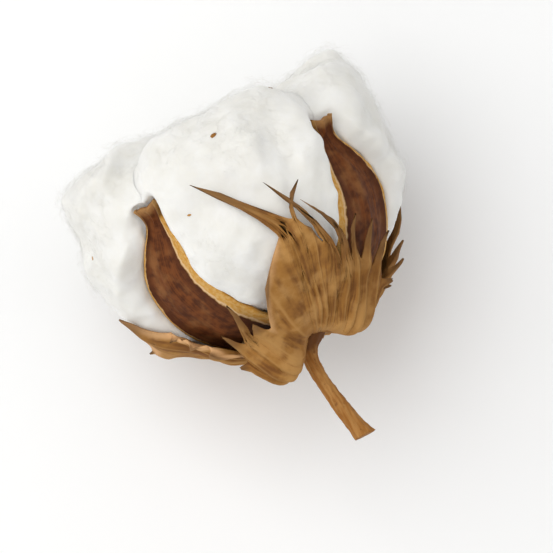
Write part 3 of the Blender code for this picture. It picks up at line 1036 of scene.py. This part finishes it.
@dataclass
class Lint:
    """The four locks, grown out of the model's own and parted again along the valves."""

    axis: Axis
    finish: LintFinish
    fibres: Fibres
    locks: tuple[str, ...] = ("lock_right", "lock_under", "lock_left", "lock_front")
    seams: tuple[float, ...] = VALVES_AT
    voxel: float = 0.55 * MM
    softness: float = 0.5
    smoothing: int = 9
    folds: Table = scaled(((0.55, 7.0, 1.0), (0.22, 3.0, 4.0), (0.08, 1.4, 7.0)), MM, MM, 1.0)
    furrows: Table = scaled(((1.6, 3.8), (0.25, 1.0)), MM, MM)
    furrow_near_bur: float = 0.2
    past_bur: tuple[float, float] = (30.0 * MM, 42.0 * MM)
    sway: float = 8.0
    sway_size: float = 9.0 * MM
    sway_shift: float = 40.0
    reach: float = 80.0 * MM
    sight: float = 60.0 * MM
    sight_start: float = 1.2 * MM
    cleft: float = 4.0 * MM
    open_in_cleft: float = 0.35
    bare_near: float = 9.0 * MM

    def build(self) -> list[bpy.types.Object]:
        """Makes the locks and their fibres.

        Returns:
            The locks.
        """
        whole = self._fluff()
        material = self.finish.material()
        others = [node.data for name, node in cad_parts.items() if name not in self.locks]
        ends = (*self.seams[1:], self.seams[0] + 360.0)
        shares = [
            self._share(lock, whole, start, end)
            for lock, start, end in zip(self.locks, self.seams, ends)
        ]
        bpy.data.meshes.remove(whole)
        blockers = search_tree([*shares, *others])
        hard = search_tree(others)
        growth = self.fibres.growth()
        made = []
        for i, (lock, mesh) in enumerate(zip(self.locks, shares)):
            self._mark_open(mesh, blockers, hard)
            made.append(settle(add_piece(lock + "_lint", mesh, material), Slot.LINT, lock))
            host = add_object(lock + "_roots", mesh.copy())
            fuzz = growth.grow(host, lock + "_fibres", self.fibres.sizes(i, material))
            settle(add_piece(lock + "_fibres", fuzz, material), Slot.LINT)
        return made

    def _fluff(self) -> bpy.types.Mesh:
        """The whole lint as one fine closed surface, softened and folded.

        Returns:
            The mesh.
        """
        joined = bmesh.new()
        for lock in self.locks:
            part = bmesh.new()
            part.from_mesh(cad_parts[lock].data)
            bmesh.ops.remove_doubles(part, verts=part.verts, dist=WELD)
            absorb(joined, mesh_of(part, "part"))
        rough = add_object("lint_rough", mesh_of(joined, "lint_rough"))
        remesh = rough.modifiers.new("even", "REMESH")
        remesh.mode = "VOXEL"
        remesh.voxel_size = self.voxel
        soften = rough.modifiers.new("soften", "SMOOTH")
        soften.factor = self.softness
        soften.iterations = self.smoothing
        mesh = plain_mesh(rough, "lint_whole")
        normals = [vertex.normal.copy() for vertex in mesh.vertices]
        for vertex, normal in zip(mesh.vertices, normals):
            vertex.co = self._soft(vertex.co, normal)
        return mesh

    def _soft(self, point: Vector, normal: Vector) -> Vector:
        """A point of the lint after its folds and furrows.

        Args:
            point: The point before.
            normal: The surface's normal there.

        Returns:
            The point after, no lower than the surface that the boll lies on.
        """
        azimuth = self.axis.azimuth_of(point)
        radius = (point - self.axis.origin).xz.length
        off = min(abs(wrapped(azimuth - seam)) for seam in self.seams)
        beside = radius * math.sin(math.radians(min(off, 90.0)))
        felt = self.furrow_near_bur + (1.0 - self.furrow_near_bur) * self._past_bur(point)
        rise = ripple(point, *self.folds)
        rise -= felt * sum(depth * bell(beside, width) for depth, width in self.furrows)
        made = point + normal * rise
        return Vector((made.x, made.y, max(made.z, CAD_BOX[0][2])))

    def _past_bur(self, point: Vector) -> float:
        """How far a point is past the valves' beaks along the axis, from 0 to 1."""
        low, high = self.past_bur
        return smoothstep((point.y - self.axis.origin.y - low) / (high - low))

    def _swayed(self, point: Vector) -> Vector:
        """A point turned a little about the axis, so that the seams past the bur wander.

        Args:
            point: The point before.

        Returns:
            The point after.
        """
        offset = point - self.axis.origin
        turn = self.sway * wander(point, self.sway_size, self.sway_shift) * self._past_bur(point)
        return self.axis.around(self.axis.azimuth_of(point) + turn, offset.xz.length, offset.y)

    def _share(self, name: str, whole: bpy.types.Mesh, start: float, end: float) -> bpy.types.Mesh:
        """One lock's share of the lint, closed along the seams.

        Args:
            name: The lock's name.
            whole: The whole lint.
            start: Azimuth of its first seam.
            end: Azimuth of its second seam.

        Returns:
            The mesh.
        """
        corners = [self.axis.origin.copy()]
        corners += [self.axis.around(a, self.reach, 0.0) for a in (start, (start + end) / 2, end)]
        bm = bmesh.new()
        face = bm.faces.new([bm.verts.new(c - Vector((0.0, self.reach, 0.0))) for c in corners])
        raised = bmesh.ops.extrude_face_region(bm, geom=[face])["geom"]
        tops = [item for item in raised if isinstance(item, bmesh.types.BMVert)]
        bmesh.ops.translate(bm, vec=(0.0, 2.0 * self.reach, 0.0), verts=tops)
        bmesh.ops.recalc_face_normals(bm, faces=bm.faces)
        wedge = add_object("wedge", mesh_of(bm, "wedge"))
        lock = add_object(name, whole.copy())
        share = lock.modifiers.new("share", "BOOLEAN")
        share.operation = "INTERSECT"
        share.solver = "MANIFOLD"
        share.object = wedge
        mesh = in_order(plain_mesh(lock, name + "_lint"))
        bpy.data.objects.remove(wedge, do_unlink=True)
        for vertex in mesh.vertices:
            vertex.co = self._swayed(vertex.co)
        return mesh

    def _mark_open(self, mesh: bpy.types.Mesh, blockers: BVHTree, hard: BVHTree) -> None:
        """Marks, as the attribute open, the points that nothing covers or touches.

        Args:
            mesh: The lock's mesh.
            blockers: Everything that can cover it.
            hard: The bur, bracts and stalk, beside which it has few loose fibres.
        """
        shares = np.zeros(len(mesh.vertices))
        for i, vertex in enumerate(mesh.vertices):
            start = vertex.co + vertex.normal * self.sight_start
            away = blockers.ray_cast(start, vertex.normal, self.sight)[3]
            if away is None:
                shares[i] = 1.0
            elif away > self.cleft:
                shares[i] = self.open_in_cleft
            near = hard.find_nearest(vertex.co, self.bare_near)[3]
            if near is not None:
                shares[i] *= smoothstep(near / self.bare_near * 2.0 - 1.0)
        mark(mesh, "open", shares)


@dataclass
class Bur:
    """The opened capsule: four pointed valves with forked beaks on a cup."""

    axis: Axis
    finish: HuskFinish
    azimuths: tuple[float, ...] = VALVES_AT
    leans: tuple[float, ...] = (13.0, 0.0, 0.0, -17.0)
    lean_from: float = 0.62
    broad_sides: tuple[float, ...] = (-1.0, 1.0, -1.0, 1.0)
    margins: tuple[float, float] = (0.86, 0.7)
    line: Table = scaled(
        ((3.0, 0.6), (8.0, 1.1), (14.0, 3.1), (19.0, 6.4), (22.6, 10.6), (25.0, 16.0))
        + ((26.3, 22.0), (26.8, 27.0), (27.6, 30.6), (29.4, 33.8)),
        MM,
        MM,
    )
    half_width: Table = scaled(
        ((0.0, 2.3), (0.11, 5.4), (0.24, 8.2), (0.37, 9.2), (0.5, 9.5), (0.61, 8.8), (0.73, 7.2))
        + ((0.82, 4.6), (0.9, 2.1), (1.0, 2.8)),
        1.0,
        MM,
    )
    rows: int = 110
    columns: int = 44
    wall: float = 0.9 * MM
    lip_lift: float = 0.95 * MM
    lip_from: float = 0.62
    broad_lift: float = 1.3
    lip_spread: float = 0.9 * MM
    end_fade: float = 5.0
    midrib_lift: float = 0.35 * MM
    midrib_fade: float = 4.0
    skin_step: float = 0.28 * MM
    step_fade: float = 4.0
    step_width: float = 0.06
    fork_depth: float = 1.1 * MM
    fork_from: float = 0.88
    fork_curve: float = 1.4
    grain: Wave = (0.16 * MM, 2.4 * MM, 0.0)
    grain_stretch: tuple[float, float, float] = (3.0, 0.5, 1.0)
    swell: Wave = (0.35 * MM, 7.0 * MM, 5.0)
    seed_step: float = 17.0
    ragged: Wave = (0.35 * MM, 2.6 * MM, 9.0)
    cup_profile: Table = scaled(
        ((0.0, 0.0), (6.0, 0.4), (10.0, 1.5), (14.0, 3.2), (13.3, 4.2), (9.2, 2.8), (5.4, 2.1))
        + ((0.0, 2.0),),
        MM,
        MM,
    )
    cup_sides: int = 72

    def build(self) -> bpy.types.Object:
        """Makes the bur.

        Returns:
            The piece.
        """
        finishes = (self.finish.skinned(), self.finish.lining())
        line = Line(self.line)
        bm = bmesh.new()
        bm.loops.layers.uv.new("UVMap")
        for i, azimuth in enumerate(self.azimuths):
            grid = self._valve_grid(line, i)
            mesh = mesh_of_grid(
                "valve", grid, self.axis.outward(azimuth), {"margin": self._margins(i)}
            )
            valve = add_piece("valve", mesh, *finishes)
            thicken(valve, self.wall, -1.0, inner=1)
            absorb(bm, plain_mesh(valve, "valve"))
        absorb(bm, self._cup())
        return settle(add_piece("bur_valves", mesh_of(bm, "bur"), *finishes), Slot.BUR, "bur")

    def _margins(self, number: int) -> np.ndarray:
        """How far each point of a valve is past where its skin ends, in shares of its half.

        Args:
            number: Which valve it is.

        Returns:
            A number for each point, row by row.
        """
        across = np.linspace(-1.0, 1.0, self.columns + 1)
        narrow, broad = self.margins
        skin_ends = np.where(across * self.broad_sides[number] > 0.0, broad, narrow)
        return np.tile(np.abs(across) - skin_ends, (self.rows + 1, 1))

    def _valve_grid(self, line: Line, number: int) -> list[list[Vector]]:
        """The outer face of one valve.

        Args:
            line: The line down its middle.
            number: Which valve it is.

        Returns:
            Rows of points from its base to its beak.
        """
        seed = self.seed_step * number
        grid = []
        for i in range(self.rows + 1):
            share = i / self.rows
            radius, height, normal = line.at(share * line.length)
            half = from_table(self.half_width, share)
            at_foot = smoothstep(share * self.end_fade)
            spread = self.lip_spread * at_foot * smoothstep((1.0 - share) * self.end_fade)
            beside = 1.0 - smoothstep((share - self.lean_from) / (1.0 - self.lean_from))
            fork = smoothstep((share - self.fork_from) / (1.0 - self.fork_from))
            azimuth = self.azimuths[number] + self.leans[number] * beside
            row = []
            for j in range(self.columns + 1):
                across = 2.0 * j / self.columns - 1.0
                off = abs(across)
                spot = Vector((across * half, share * line.length, 0.0))
                broad = across * self.broad_sides[number] > 0.0
                lip = smoothstep((off - self.lip_from) / (1.0 - self.lip_from))
                lift = self.lip_lift * lip * at_foot
                lift *= self.broad_lift if broad else 1.0
                lift += self.midrib_lift * (1.0 - smoothstep(off * self.midrib_fade))
                step = smoothstep((off - self.margins[broad]) / self.step_width)
                lift -= self.skin_step * step * smoothstep(share * self.step_fade)
                lift += ripple(spot * Vector(self.grain_stretch), self.grain, shift=seed)
                lift += ripple(spot, self.swell, shift=seed)
                drop = self.fork_depth * fork * (1.0 - off**self.fork_curve)
                ragged = ripple(spot, self.ragged, shift=seed) + (spread if broad else 0.0)
                aside = across * half + math.copysign(ragged * off**3, across)
                turn = azimuth + math.degrees(aside / radius)
                out, up = radius + lift * normal[0], height + lift * normal[1] - drop
                row.append(self.axis.around(turn, out, up))
            grid.append(row)
        return grid

    def _cup(self) -> bpy.types.Mesh:
        """The cup that the valves stand on, turned round the axis.

        Returns:
            The mesh.
        """
        bm = bmesh.new()
        chain = [bm.verts.new(self.axis.around(0.0, r, y)) for r, y in self.cup_profile]
        edges = [bm.edges.new(pair) for pair in zip(chain, chain[1:])]
        bmesh.ops.spin(
            bm,
            geom=chain + edges,
            axis=(0.0, 1.0, 0.0),
            cent=self.axis.origin,
            angle=math.tau,
            steps=self.cup_sides,
            use_merge=True,
        )
        bmesh.ops.remove_doubles(bm, verts=bm.verts, dist=10.0 * WELD)
        bmesh.ops.recalc_face_normals(bm, faces=bm.faces)
        return mesh_of(bm, "cup")


@dataclass(frozen=True)
class Cut:
    """How one bract differs from the others.

    The edge is a row of notches and tips by turns, each as an azimuth and a reach in millimetres.
    The rim span is where its edge has curled over, and how much.
    """

    name: str
    seed: float
    flares: tuple[float, float]
    clearance: float
    rim_span: tuple[float, float, float]
    edge: Table


@dataclass
class Bract:
    """A dried, pleated leaf whose edge runs out in long narrow teeth, laid over what it clasps."""

    axis: Axis
    under: BVHTree
    cut: Cut
    line: Table = scaled(
        ((3.8, -1.3), (9.0, -1.1), (14.5, 0.8), (19.6, 4.2), (23.0, 9.3), (25.4, 15.5))
        + ((27.4, 22.0), (28.8, 28.0), (31.0, 40.0)),
        MM,
        MM,
    )
    rows: int = 44
    steps: int = 12
    wall: float = 0.38 * MM
    lobes: Table = scaled(((-44.0, 5.8, 17.0), (50.0, 4.4, 24.0), (262.0, 0.8, 18.0)), 1.0, MM, 1.0)
    lobe_middle: float = 6.5 * MM
    lobe_spread: float = 5.5 * MM
    taper: float = 1.8
    bend: float = 3.5
    curl_lift: float = 1.2 * MM
    rim_width: float = 2.4 * MM
    rim_fade: float = 5.0
    pleat: float = 0.7 * MM
    pleat_fade: float = 2.0
    vein: float = 0.3 * MM
    vein_fade: float = 3.0
    vein_sharpness: int = 6
    tip_lift: float = 1.4 * MM
    buckle: Wave = (0.8 * MM, 6.0 * MM, 0.0)
    crinkle: Wave = (0.3 * MM, 2.4 * MM, 4.0)
    crinkle_radius: float = 20.0 * MM
    flare_span: float = 22.0
    flare_middle: float = 9.0 * MM
    flare_spread: float = 7.0 * MM
    clasp_from: float = 3.3 * MM
    clasp_smoothing: int = 6
    sight: float = 60.0 * MM
    feelers: Table = scaled(((0, 0), (3.0, 0), (-3.0, 0), (0, 1.5), (0, -1.5)), 1.0, MM)
    underside_reach: float = 23.0 * MM
    underside_span: tuple[float, float] = (26.0, 48.0)

    def build(self, material: bpy.types.Material) -> bpy.types.Object:
        """Makes the bract.

        Args:
            material: Its finish.

        Returns:
            The piece.
        """
        name = self.cut.name
        columns = self._columns()
        line = Line(self.line)
        shape = (len(columns), self.rows + 1)
        turns, radii, heights, veins, teeth, rims = (np.zeros(shape) for _ in range(6))
        for i, column in enumerate(columns):
            for j in range(self.rows + 1):
                spot = self._spot(line, column, j / self.rows)
                turns[i, j], radii[i, j], heights[i, j], veins[i, j], teeth[i, j] = spot
                rims[i, j] = self._rim(column, j / self.rows)
        radii = self._laid(turns, radii, heights)
        grid = [
            [self.axis.around(turns[i, j], radii[i, j], heights[i, j]) for j in range(shape[1])]
            for i in range(shape[0])
        ]
        middle = (self.cut.edge[0][0] + self.cut.edge[-1][0]) / 2
        outward = self.axis.outward(middle) + Vector((0.0, -1.0, 0.0))
        mesh = mesh_of_grid(name, grid, outward, {"vein": veins, "tooth": teeth, "rim": rims})
        self._turn_uv(mesh)
        piece = add_piece(name + "_rough", mesh, material)
        thicken(piece, self.wall, 1.0)
        leaf = add_piece(name + "_leaf", plain_mesh(piece, name + "_leaf"), material)
        return settle(leaf, Slot.BRACT, name)

    def _rim(self, column: Sequence[float], share: float) -> float:
        """How near a point is to an edge that has curled over, from 0 to 1.

        Args:
            column: The column of the grid.
            share: How far along the column.

        Returns:
            The nearness.
        """
        azimuth, blade = column[:2]
        low, high, most = self.cut.rim_span
        beside = smoothstep(min(azimuth - low, high - azimuth) / self.rim_fade)
        return most * bell(blade * (1.0 - share), self.rim_width) * beside

    def _turn_uv(self, mesh: bpy.types.Mesh) -> None:
        """Swaps the UV map's two coordinates, so that the first runs from base to edge.

        Args:
            mesh: The leaf's mesh.
        """
        data = mesh.uv_layers["UVMap"].data
        uv = np.empty(len(data) * 2, dtype=np.float32)
        data.foreach_get("uv", uv)
        data.foreach_set("uv", uv.reshape(-1, 2)[:, ::-1].ravel())

    def _columns(self) -> list[tuple[float, float, float, float, float, float]]:
        """The columns of the grid.

        Returns:
            Azimuth, blade reach, tooth length, how near the tooth's middle, lean and bend of each.
        """
        draw = random.Random(self.cut.seed)
        notches = self.cut.edge[::2]
        columns = []
        for (start, reach), (end, end_reach), (tip_at, tip_reach) in zip(
            notches, notches[1:], self.cut.edge[1::2]
        ):
            tooth = (tip_reach - (reach + end_reach) / 2) * MM
            lean = tip_at - (start + end) / 2
            bend = draw.uniform(-self.bend, self.bend)
            for k in range(self.steps):
                step = k / self.steps
                inner = 1.0 - abs(2.0 * step - 1.0)
                blade = (reach + (end_reach - reach) * step) * MM
                columns.append((start + (end - start) * step, blade, tooth, inner, lean, bend))
        columns.append((notches[-1][0], notches[-1][1] * MM, 0.0, 0.0, 0.0, 0.0))
        return columns

    def _spot(
        self, line: Line, column: Sequence[float], share: float
    ) -> tuple[float, float, float, float, float]:
        """A point of the bract before it is laid over what it clasps.

        Args:
            line: The line that the bract follows outwards.
            column: The column of the grid.
            share: How far along the column.

        Returns:
            Azimuth, radius, height, nearness to a vein, and how far out in a tooth.
        """
        azimuth, blade, tooth, inner, lean, bend = column
        seed = self.cut.seed
        low, high = self.underside_span
        free = smoothstep((abs(wrapped(azimuth - 180.0)) - low) / (high - low))
        most = self.underside_reach + (1.0 - self.underside_reach) * free
        distance = share * (min(blade, most) + tooth * inner**self.taper * free)
        radius, height, normal = line.at(distance)
        past = max(distance - blade, 0.0) / tooth if tooth > 0.0 else 0.0
        vein = inner**self.vein_sharpness
        lift = self.pleat * inner * smoothstep(share * self.pleat_fade) + self.tip_lift * past
        lift += self.vein * vein * smoothstep(share * self.vein_fade)
        lift += self.curl_lift * self._rim(column, share)
        swell = bell(distance - self.flare_middle, self.flare_spread)
        for flare, (end, _) in zip(self.cut.flares, (self.cut.edge[0], self.cut.edge[-1])):
            lift += flare * swell * (1.0 - smoothstep(abs(azimuth - end) / self.flare_span))
        spot = Vector((math.radians(azimuth) * self.crinkle_radius, distance, seed * MM))
        lift += ripple(spot, self.buckle, shift=seed) * smoothstep(share * self.vein_fade)
        lift += ripple(spot, self.crinkle, shift=seed)
        droop = bell(distance - self.lobe_middle, self.lobe_spread) * sum(
            hang * bell(wrapped(azimuth - at), spread) for at, hang, spread in self.lobes
        )
        turn = azimuth + lean * past + bend * math.sin(math.pi * past)
        return turn, radius + lift * normal[0], height + lift * normal[1] - droop, vein, past

    def _laid(self, turns: np.ndarray, radii: np.ndarray, heights: np.ndarray) -> np.ndarray:
        """Lifts the bract over what it clasps.

        Args:
            turns: Azimuths of the grid's points.
            radii: Their radii.
            heights: Their heights.

        Returns:
            New radii.
        """
        least = np.zeros_like(radii)
        for index in np.ndindex(radii.shape):
            if heights[index] > self.clasp_from:
                outermost = self._outermost(turns[index], heights[index])
                least[index] = outermost + self.cut.clearance
        lift = np.maximum(least - radii, 0.0)
        for _ in range(self.clasp_smoothing):
            wide = np.pad(lift, 1, mode="edge")
            near = (wide[:-2, 1:-1] + wide[2:, 1:-1] + wide[1:-1, :-2] + wide[1:-1, 2:]) / 4.0
            lift = np.maximum(0.5 * lift + 0.5 * near, least - radii)
        return radii + lift

    def _outermost(self, turn: float, height: float) -> float:
        """How far out what it clasps reaches.

        Args:
            turn: Azimuth.
            height: Height along the axis.

        Returns:
            The radius, 0 where nothing is.
        """
        best = 0.0
        for sideways, along in self.feelers:
            start = self.axis.around(turn + sideways, self.sight, height + along)
            away = self.under.ray_cast(start, -self.axis.outward(turn + sideways), self.sight)[3]
            if away is not None:
                best = max(best, self.sight - away)
        return best


CUTS = (
    Cut(
        name="bract_front",
        seed=11.0,
        flares=(4.0 * MM, 0.5 * MM),
        clearance=1.1 * MM,
        rim_span=(-31.0, 4.0, 0.6),
        edge=(
            (-61, 11), (-59, 14), (-56, 13), (-46, 20), (-47, 15), (-33, 24), (-40, 15),
            (-29, 18.5), (-26, 14.5), (-13, 23.4), (1, 29.5), (-17, 47), (8, 31.5), (15, 38.5),
            (10, 30.5), (13, 29), (16, 25), (4, 41), (25, 19.5), (13, 35), (34, 19.5), (37, 29),
            (41, 19.5), (46, 27), (51, 17.5), (58, 24), (65, 15), (69, 15.5), (72.5, 12),
        ),
    ),
    Cut(
        name="bract_under",
        seed=12.0,
        flares=(0.5 * MM, 0.0),
        clearance=0.8 * MM,
        rim_span=(90.0, 90.0, 0.0),
        edge=(
            (76.5, 11), (79, 14), (83, 14), (86, 19), (91, 17), (97, 23), (104, 20), (110, 34),
            (117, 25), (122, 44), (129, 27), (134, 42), (141, 25), (146, 35), (152, 22),
            (157, 26), (162, 19), (167, 22), (172, 15), (174, 16), (177, 11),
        ),
    ),
    Cut(
        name="bract_left",
        seed=13.0,
        flares=(0.0, 0.0),
        clearance=0.25 * MM,
        rim_span=(252.0, 304.0, 1.0),
        edge=(
            (184, 11), (186, 15), (190, 15), (194, 22), (198, 19), (203, 27), (208, 22),
            (212, 36), (219, 25), (227, 44), (232, 27), (236, 45), (243, 26), (250, 34),
            (255, 25), (263, 26), (266, 26), (279, 34), (281, 26), (285, 25), (287, 23),
            (292, 21.5), (294, 19.5), (297, 18.5), (298, 12),
        ),
    ),
)


@dataclass
class Flecks:
    """Crumbs of dried leaf that have stuck to the lint."""

    axis: Axis
    under: BVHTree
    spots: Table = scaled(
        ((-3.0, 38.5, 0.75), (30.0, 43.0, 0.45), (-24.0, 27.0, 0.4), (284.0, 31.0, 0.5))
        + ((98.0, 35.0, 0.6), (165.0, 40.0, 0.55), (196.0, 30.0, 0.5), (250.0, 42.0, 0.45)),
        1.0,
        MM,
        MM,
    )
    shape: tuple[float, float] = (0.6, 0.22)
    roughness: float = 0.5
    rough_size: float = 0.6 * MM
    sides: int = 10
    sight: float = 60.0 * MM

    def build(self, material: bpy.types.Material) -> bpy.types.Object:
        """Makes the crumbs as one piece.

        Args:
            material: Their finish.

        Returns:
            The piece.
        """
        width, thickness = self.shape
        bm = bmesh.new()
        for number, (azimuth, height, size) in enumerate(self.spots):
            start = self.axis.around(azimuth, self.sight, height)
            spot, normal, _, _ = self.under.ray_cast(start, -self.axis.outward(azimuth))
            turn = normal.to_track_quat("Z", "Y").to_matrix().to_4x4()
            made = bmesh.ops.create_uvsphere(
                bm, u_segments=self.sides, v_segments=self.sides // 2, radius=size
            )["verts"]
            for vertex in made:
                rough = 1.0 + self.roughness * wander(vertex.co, self.rough_size, number)
                vertex.co = spot + turn @ (vertex.co * Vector((rough, width, thickness)))
        piece = add_piece("leaf_flecks", mesh_of(bm, "leaf_flecks"), material)
        return settle(piece, Slot.BRACT)


@dataclass
class Stalk:
    """The stalk and the receptacle on top of it, ridged lengthways, with a cut end.

    Its run gives, at distances down it, how far it drifts aside and how thick it is.
    """

    axis: Axis
    finish: BarkFinish
    run: Table = scaled(
        ((0.4, 0.0, 3.4), (1.4, -0.05, 3.4), (2.6, -1.1, 2.8), (4.0, -2.1, 1.9), (6.0, -2.7, 1.5))
        + ((9.0, -2.7, 1.35), (13.0, -2.2, 1.4), (17.5, -1.5, 1.65), (21.5, -0.7, 1.8))
        + ((24.0, 0.0, 2.2),),
        MM,
        MM,
        MM,
    )
    rings: int = 150
    sides: int = 56
    ridges: float = 9.0
    ridge_height: float = 0.09 * MM
    ridge_twist: float = 3.0
    twist_size: float = 6.0 * MM
    rough: Wave = (0.14 * MM, 1.1 * MM, 0.0)
    bulge: Wave = (0.25 * MM, 3.4 * MM, 7.0)
    collar: tuple[float, float] = (2.5 * MM, 4.0 * MM)
    end_rings: tuple[float, ...] = (0.75, 0.5, 0.25)
    end_rough: Wave = (0.12 * MM, 0.7 * MM, 0.0)

    def build(self) -> bpy.types.Object:
        """Makes the stalk.

        Returns:
            The piece.
        """
        drifts = [(down, drift) for down, drift, _ in self.run]
        girths = [(down, girth) for down, _, girth in self.run]
        first, last = self.run[0][0], self.run[-1][0]
        collar_from, collar_fade = self.collar
        bm = bmesh.new()
        collar = bm.verts.layers.float.new("collar")
        ring_mark = bm.verts.layers.float.new("ring")
        rings = []
        for i in range(self.rings + 1):
            down = first + (last - first) * i / self.rings
            middle = Vector((from_table(drifts, down), -down, 0.0))
            girth = from_table(girths, down)
            twist = self.ridge_twist * wander(middle, self.twist_size)
            rings.append([])
            for k in range(self.sides):
                turn = math.tau * k / self.sides
                away = Vector((math.cos(turn), 0.0, math.sin(turn)))
                ridge = self.ridge_height * math.sin(self.ridges * turn + twist)
                bumps = ripple(middle + away * girth, self.rough, self.bulge)
                spot = self.axis.origin + middle + away * (girth + ridge + bumps)
                vertex = bm.verts.new(spot)
                vertex[collar] = 1.0 - smoothstep((down - collar_from) / collar_fade)
                vertex[ring_mark] = 1.0
                rings[-1].append(vertex)
        for upper, lower in zip(rings, rings[1:]):
            self._bridge(bm, upper, lower, 0)
        self._close(bm, rings[0], ring_mark, 0)
        self._close(bm, rings[-1], ring_mark, 1)
        bmesh.ops.recalc_face_normals(bm, faces=bm.faces)
        mesh = mesh_of(bm, "stalk_bark")
        piece = add_piece("stalk_bark", mesh, self.finish.bark(), self.finish.cut())
        return settle(piece, Slot.STALK, "stalk")

    def _bridge(
        self,
        bm: bmesh.types.BMesh,
        outer: Sequence[bmesh.types.BMVert],
        inner: Sequence[bmesh.types.BMVert],
        finish: int,
    ) -> None:
        """Joins two rings, the second of which may be a single point.

        Args:
            bm: The stalk.
            outer: The first ring.
            inner: The second ring, or one point.
            finish: The material number of the faces.
        """
        for k in range(self.sides):
            n = (k + 1) % self.sides
            far = (inner[n], inner[k]) if len(inner) > 1 else (inner[0],)
            bm.faces.new((outer[k], outer[n], *far)).material_index = finish

    def _close(
        self, bm: bmesh.types.BMesh, ring: Sequence[bmesh.types.BMVert], layer: object, finish: int
    ) -> None:
        """Closes an end of the stalk with rings that shrink to its middle.

        Args:
            bm: The stalk.
            ring: The end's outer ring.
            layer: The layer that holds how far out a point of the end is.
            finish: The material number of the end.
        """
        middle = sum((vertex.co for vertex in ring), Vector()) / len(ring)
        outer = list(ring)
        for share in self.end_rings:
            inner = []
            for vertex in ring:
                spot = middle.lerp(vertex.co, share)
                spot.y += ripple(spot, self.end_rough)
                made = bm.verts.new(spot)
                made[layer] = share
                inner.append(made)
            self._bridge(bm, outer, inner, finish)
            outer = inner
        tip = bm.verts.new(middle)
        tip[layer] = 0.0
        self._bridge(bm, outer, [tip], finish)


@dataclass
class Studio:
    """A pale floor, soft lights and the camera at the photograph's angle.

    Each light has an azimuth and an elevation in degrees, a distance and a size in metres, and a
    power in watts.
    """

    target: Vector
    azimuth: float = -27.0
    elevation: float = 82.0
    distance: float = 0.8
    lens: float = 262.0
    near: float = 0.01
    floor_span: float = 6.0
    sky: float = 0.5
    lights: tuple[tuple[str, float, float, float, float, float], ...] = (
        ("key", -140.0, 58.0, 0.9, 0.9, 5.2),
        ("fill", 70.0, 50.0, 1.1, 1.2, 2.2),
        ("low", -60.0, 38.0, 1.1, 1.2, 2.4),
    )

    def build(self) -> None:
        """Makes the floor, the camera, the lights and the world."""
        scene = bpy.context.scene
        bm = bmesh.new()
        bmesh.ops.create_grid(bm, x_segments=1, y_segments=1, size=self.floor_span / 2)
        add_piece("floor", mesh_of(bm, "floor"), FloorFinish().material())
        camera = bpy.data.cameras.new("camera")
        camera.lens = self.lens
        camera.clip_start = self.near
        scene.camera = self._aimed("camera", camera, self.azimuth, self.elevation, self.distance)
        for name, azimuth, elevation, distance, size, power in self.lights:
            light = bpy.data.lights.new(name, "AREA")
            light.size = size
            light.energy = power
            self._aimed(name, light, azimuth, elevation, distance)
        scene.world = bpy.data.worlds.new("soft_white")
        scene.world.use_nodes = True
        inputs = scene.world.node_tree.nodes["Background"].inputs
        inputs["Color"].default_value = (1.0, 1.0, 1.0, 1.0)
        inputs["Strength"].default_value = self.sky
        scene.view_settings.view_transform = "Standard"

    def _aimed(
        self, name: str, data: bpy.types.ID, azimuth: float, elevation: float, distance: float
    ) -> bpy.types.Object:
        """Adds a camera or a light that faces the boll.

        Args:
            name: Its name.
            data: The camera or light.
            azimuth: Where it stands, in degrees.
            elevation: How high it stands, in degrees.
            distance: How far away it is, in metres.

        Returns:
            The object.
        """
        a, e = math.radians(azimuth), math.radians(elevation)
        back = Vector((math.sin(a) * math.cos(e), -math.cos(a) * math.cos(e), math.sin(e)))
        made = add_object(name, data)
        made.location = self.target + back * distance
        made.rotation_euler = (-back).to_track_quat("-Z", "Y").to_euler()
        return made


def main() -> None:
    """Builds the boll's pieces and the studio round them."""
    logging.basicConfig(level=logging.INFO, format="%(message)s")
    axis = Axis.from_stalk()
    low, high = CAD_BOX
    Studio((Vector(low) + Vector(high)) / 2).build()
    locks = Lint(axis, LintFinish(), Fibres()).build()
    bur = Bur(axis, HuskFinish()).build()
    under = search_tree([piece.data for piece in (*locks, bur)])
    leaf = LeafFinish().material()
    for cut in CUTS:
        Bract(axis, under, cut).build(leaf)
    Flecks(axis, under).build(leaf)
    Stalk(axis, BarkFinish()).build()


if __name__ == "__main__":
    main()
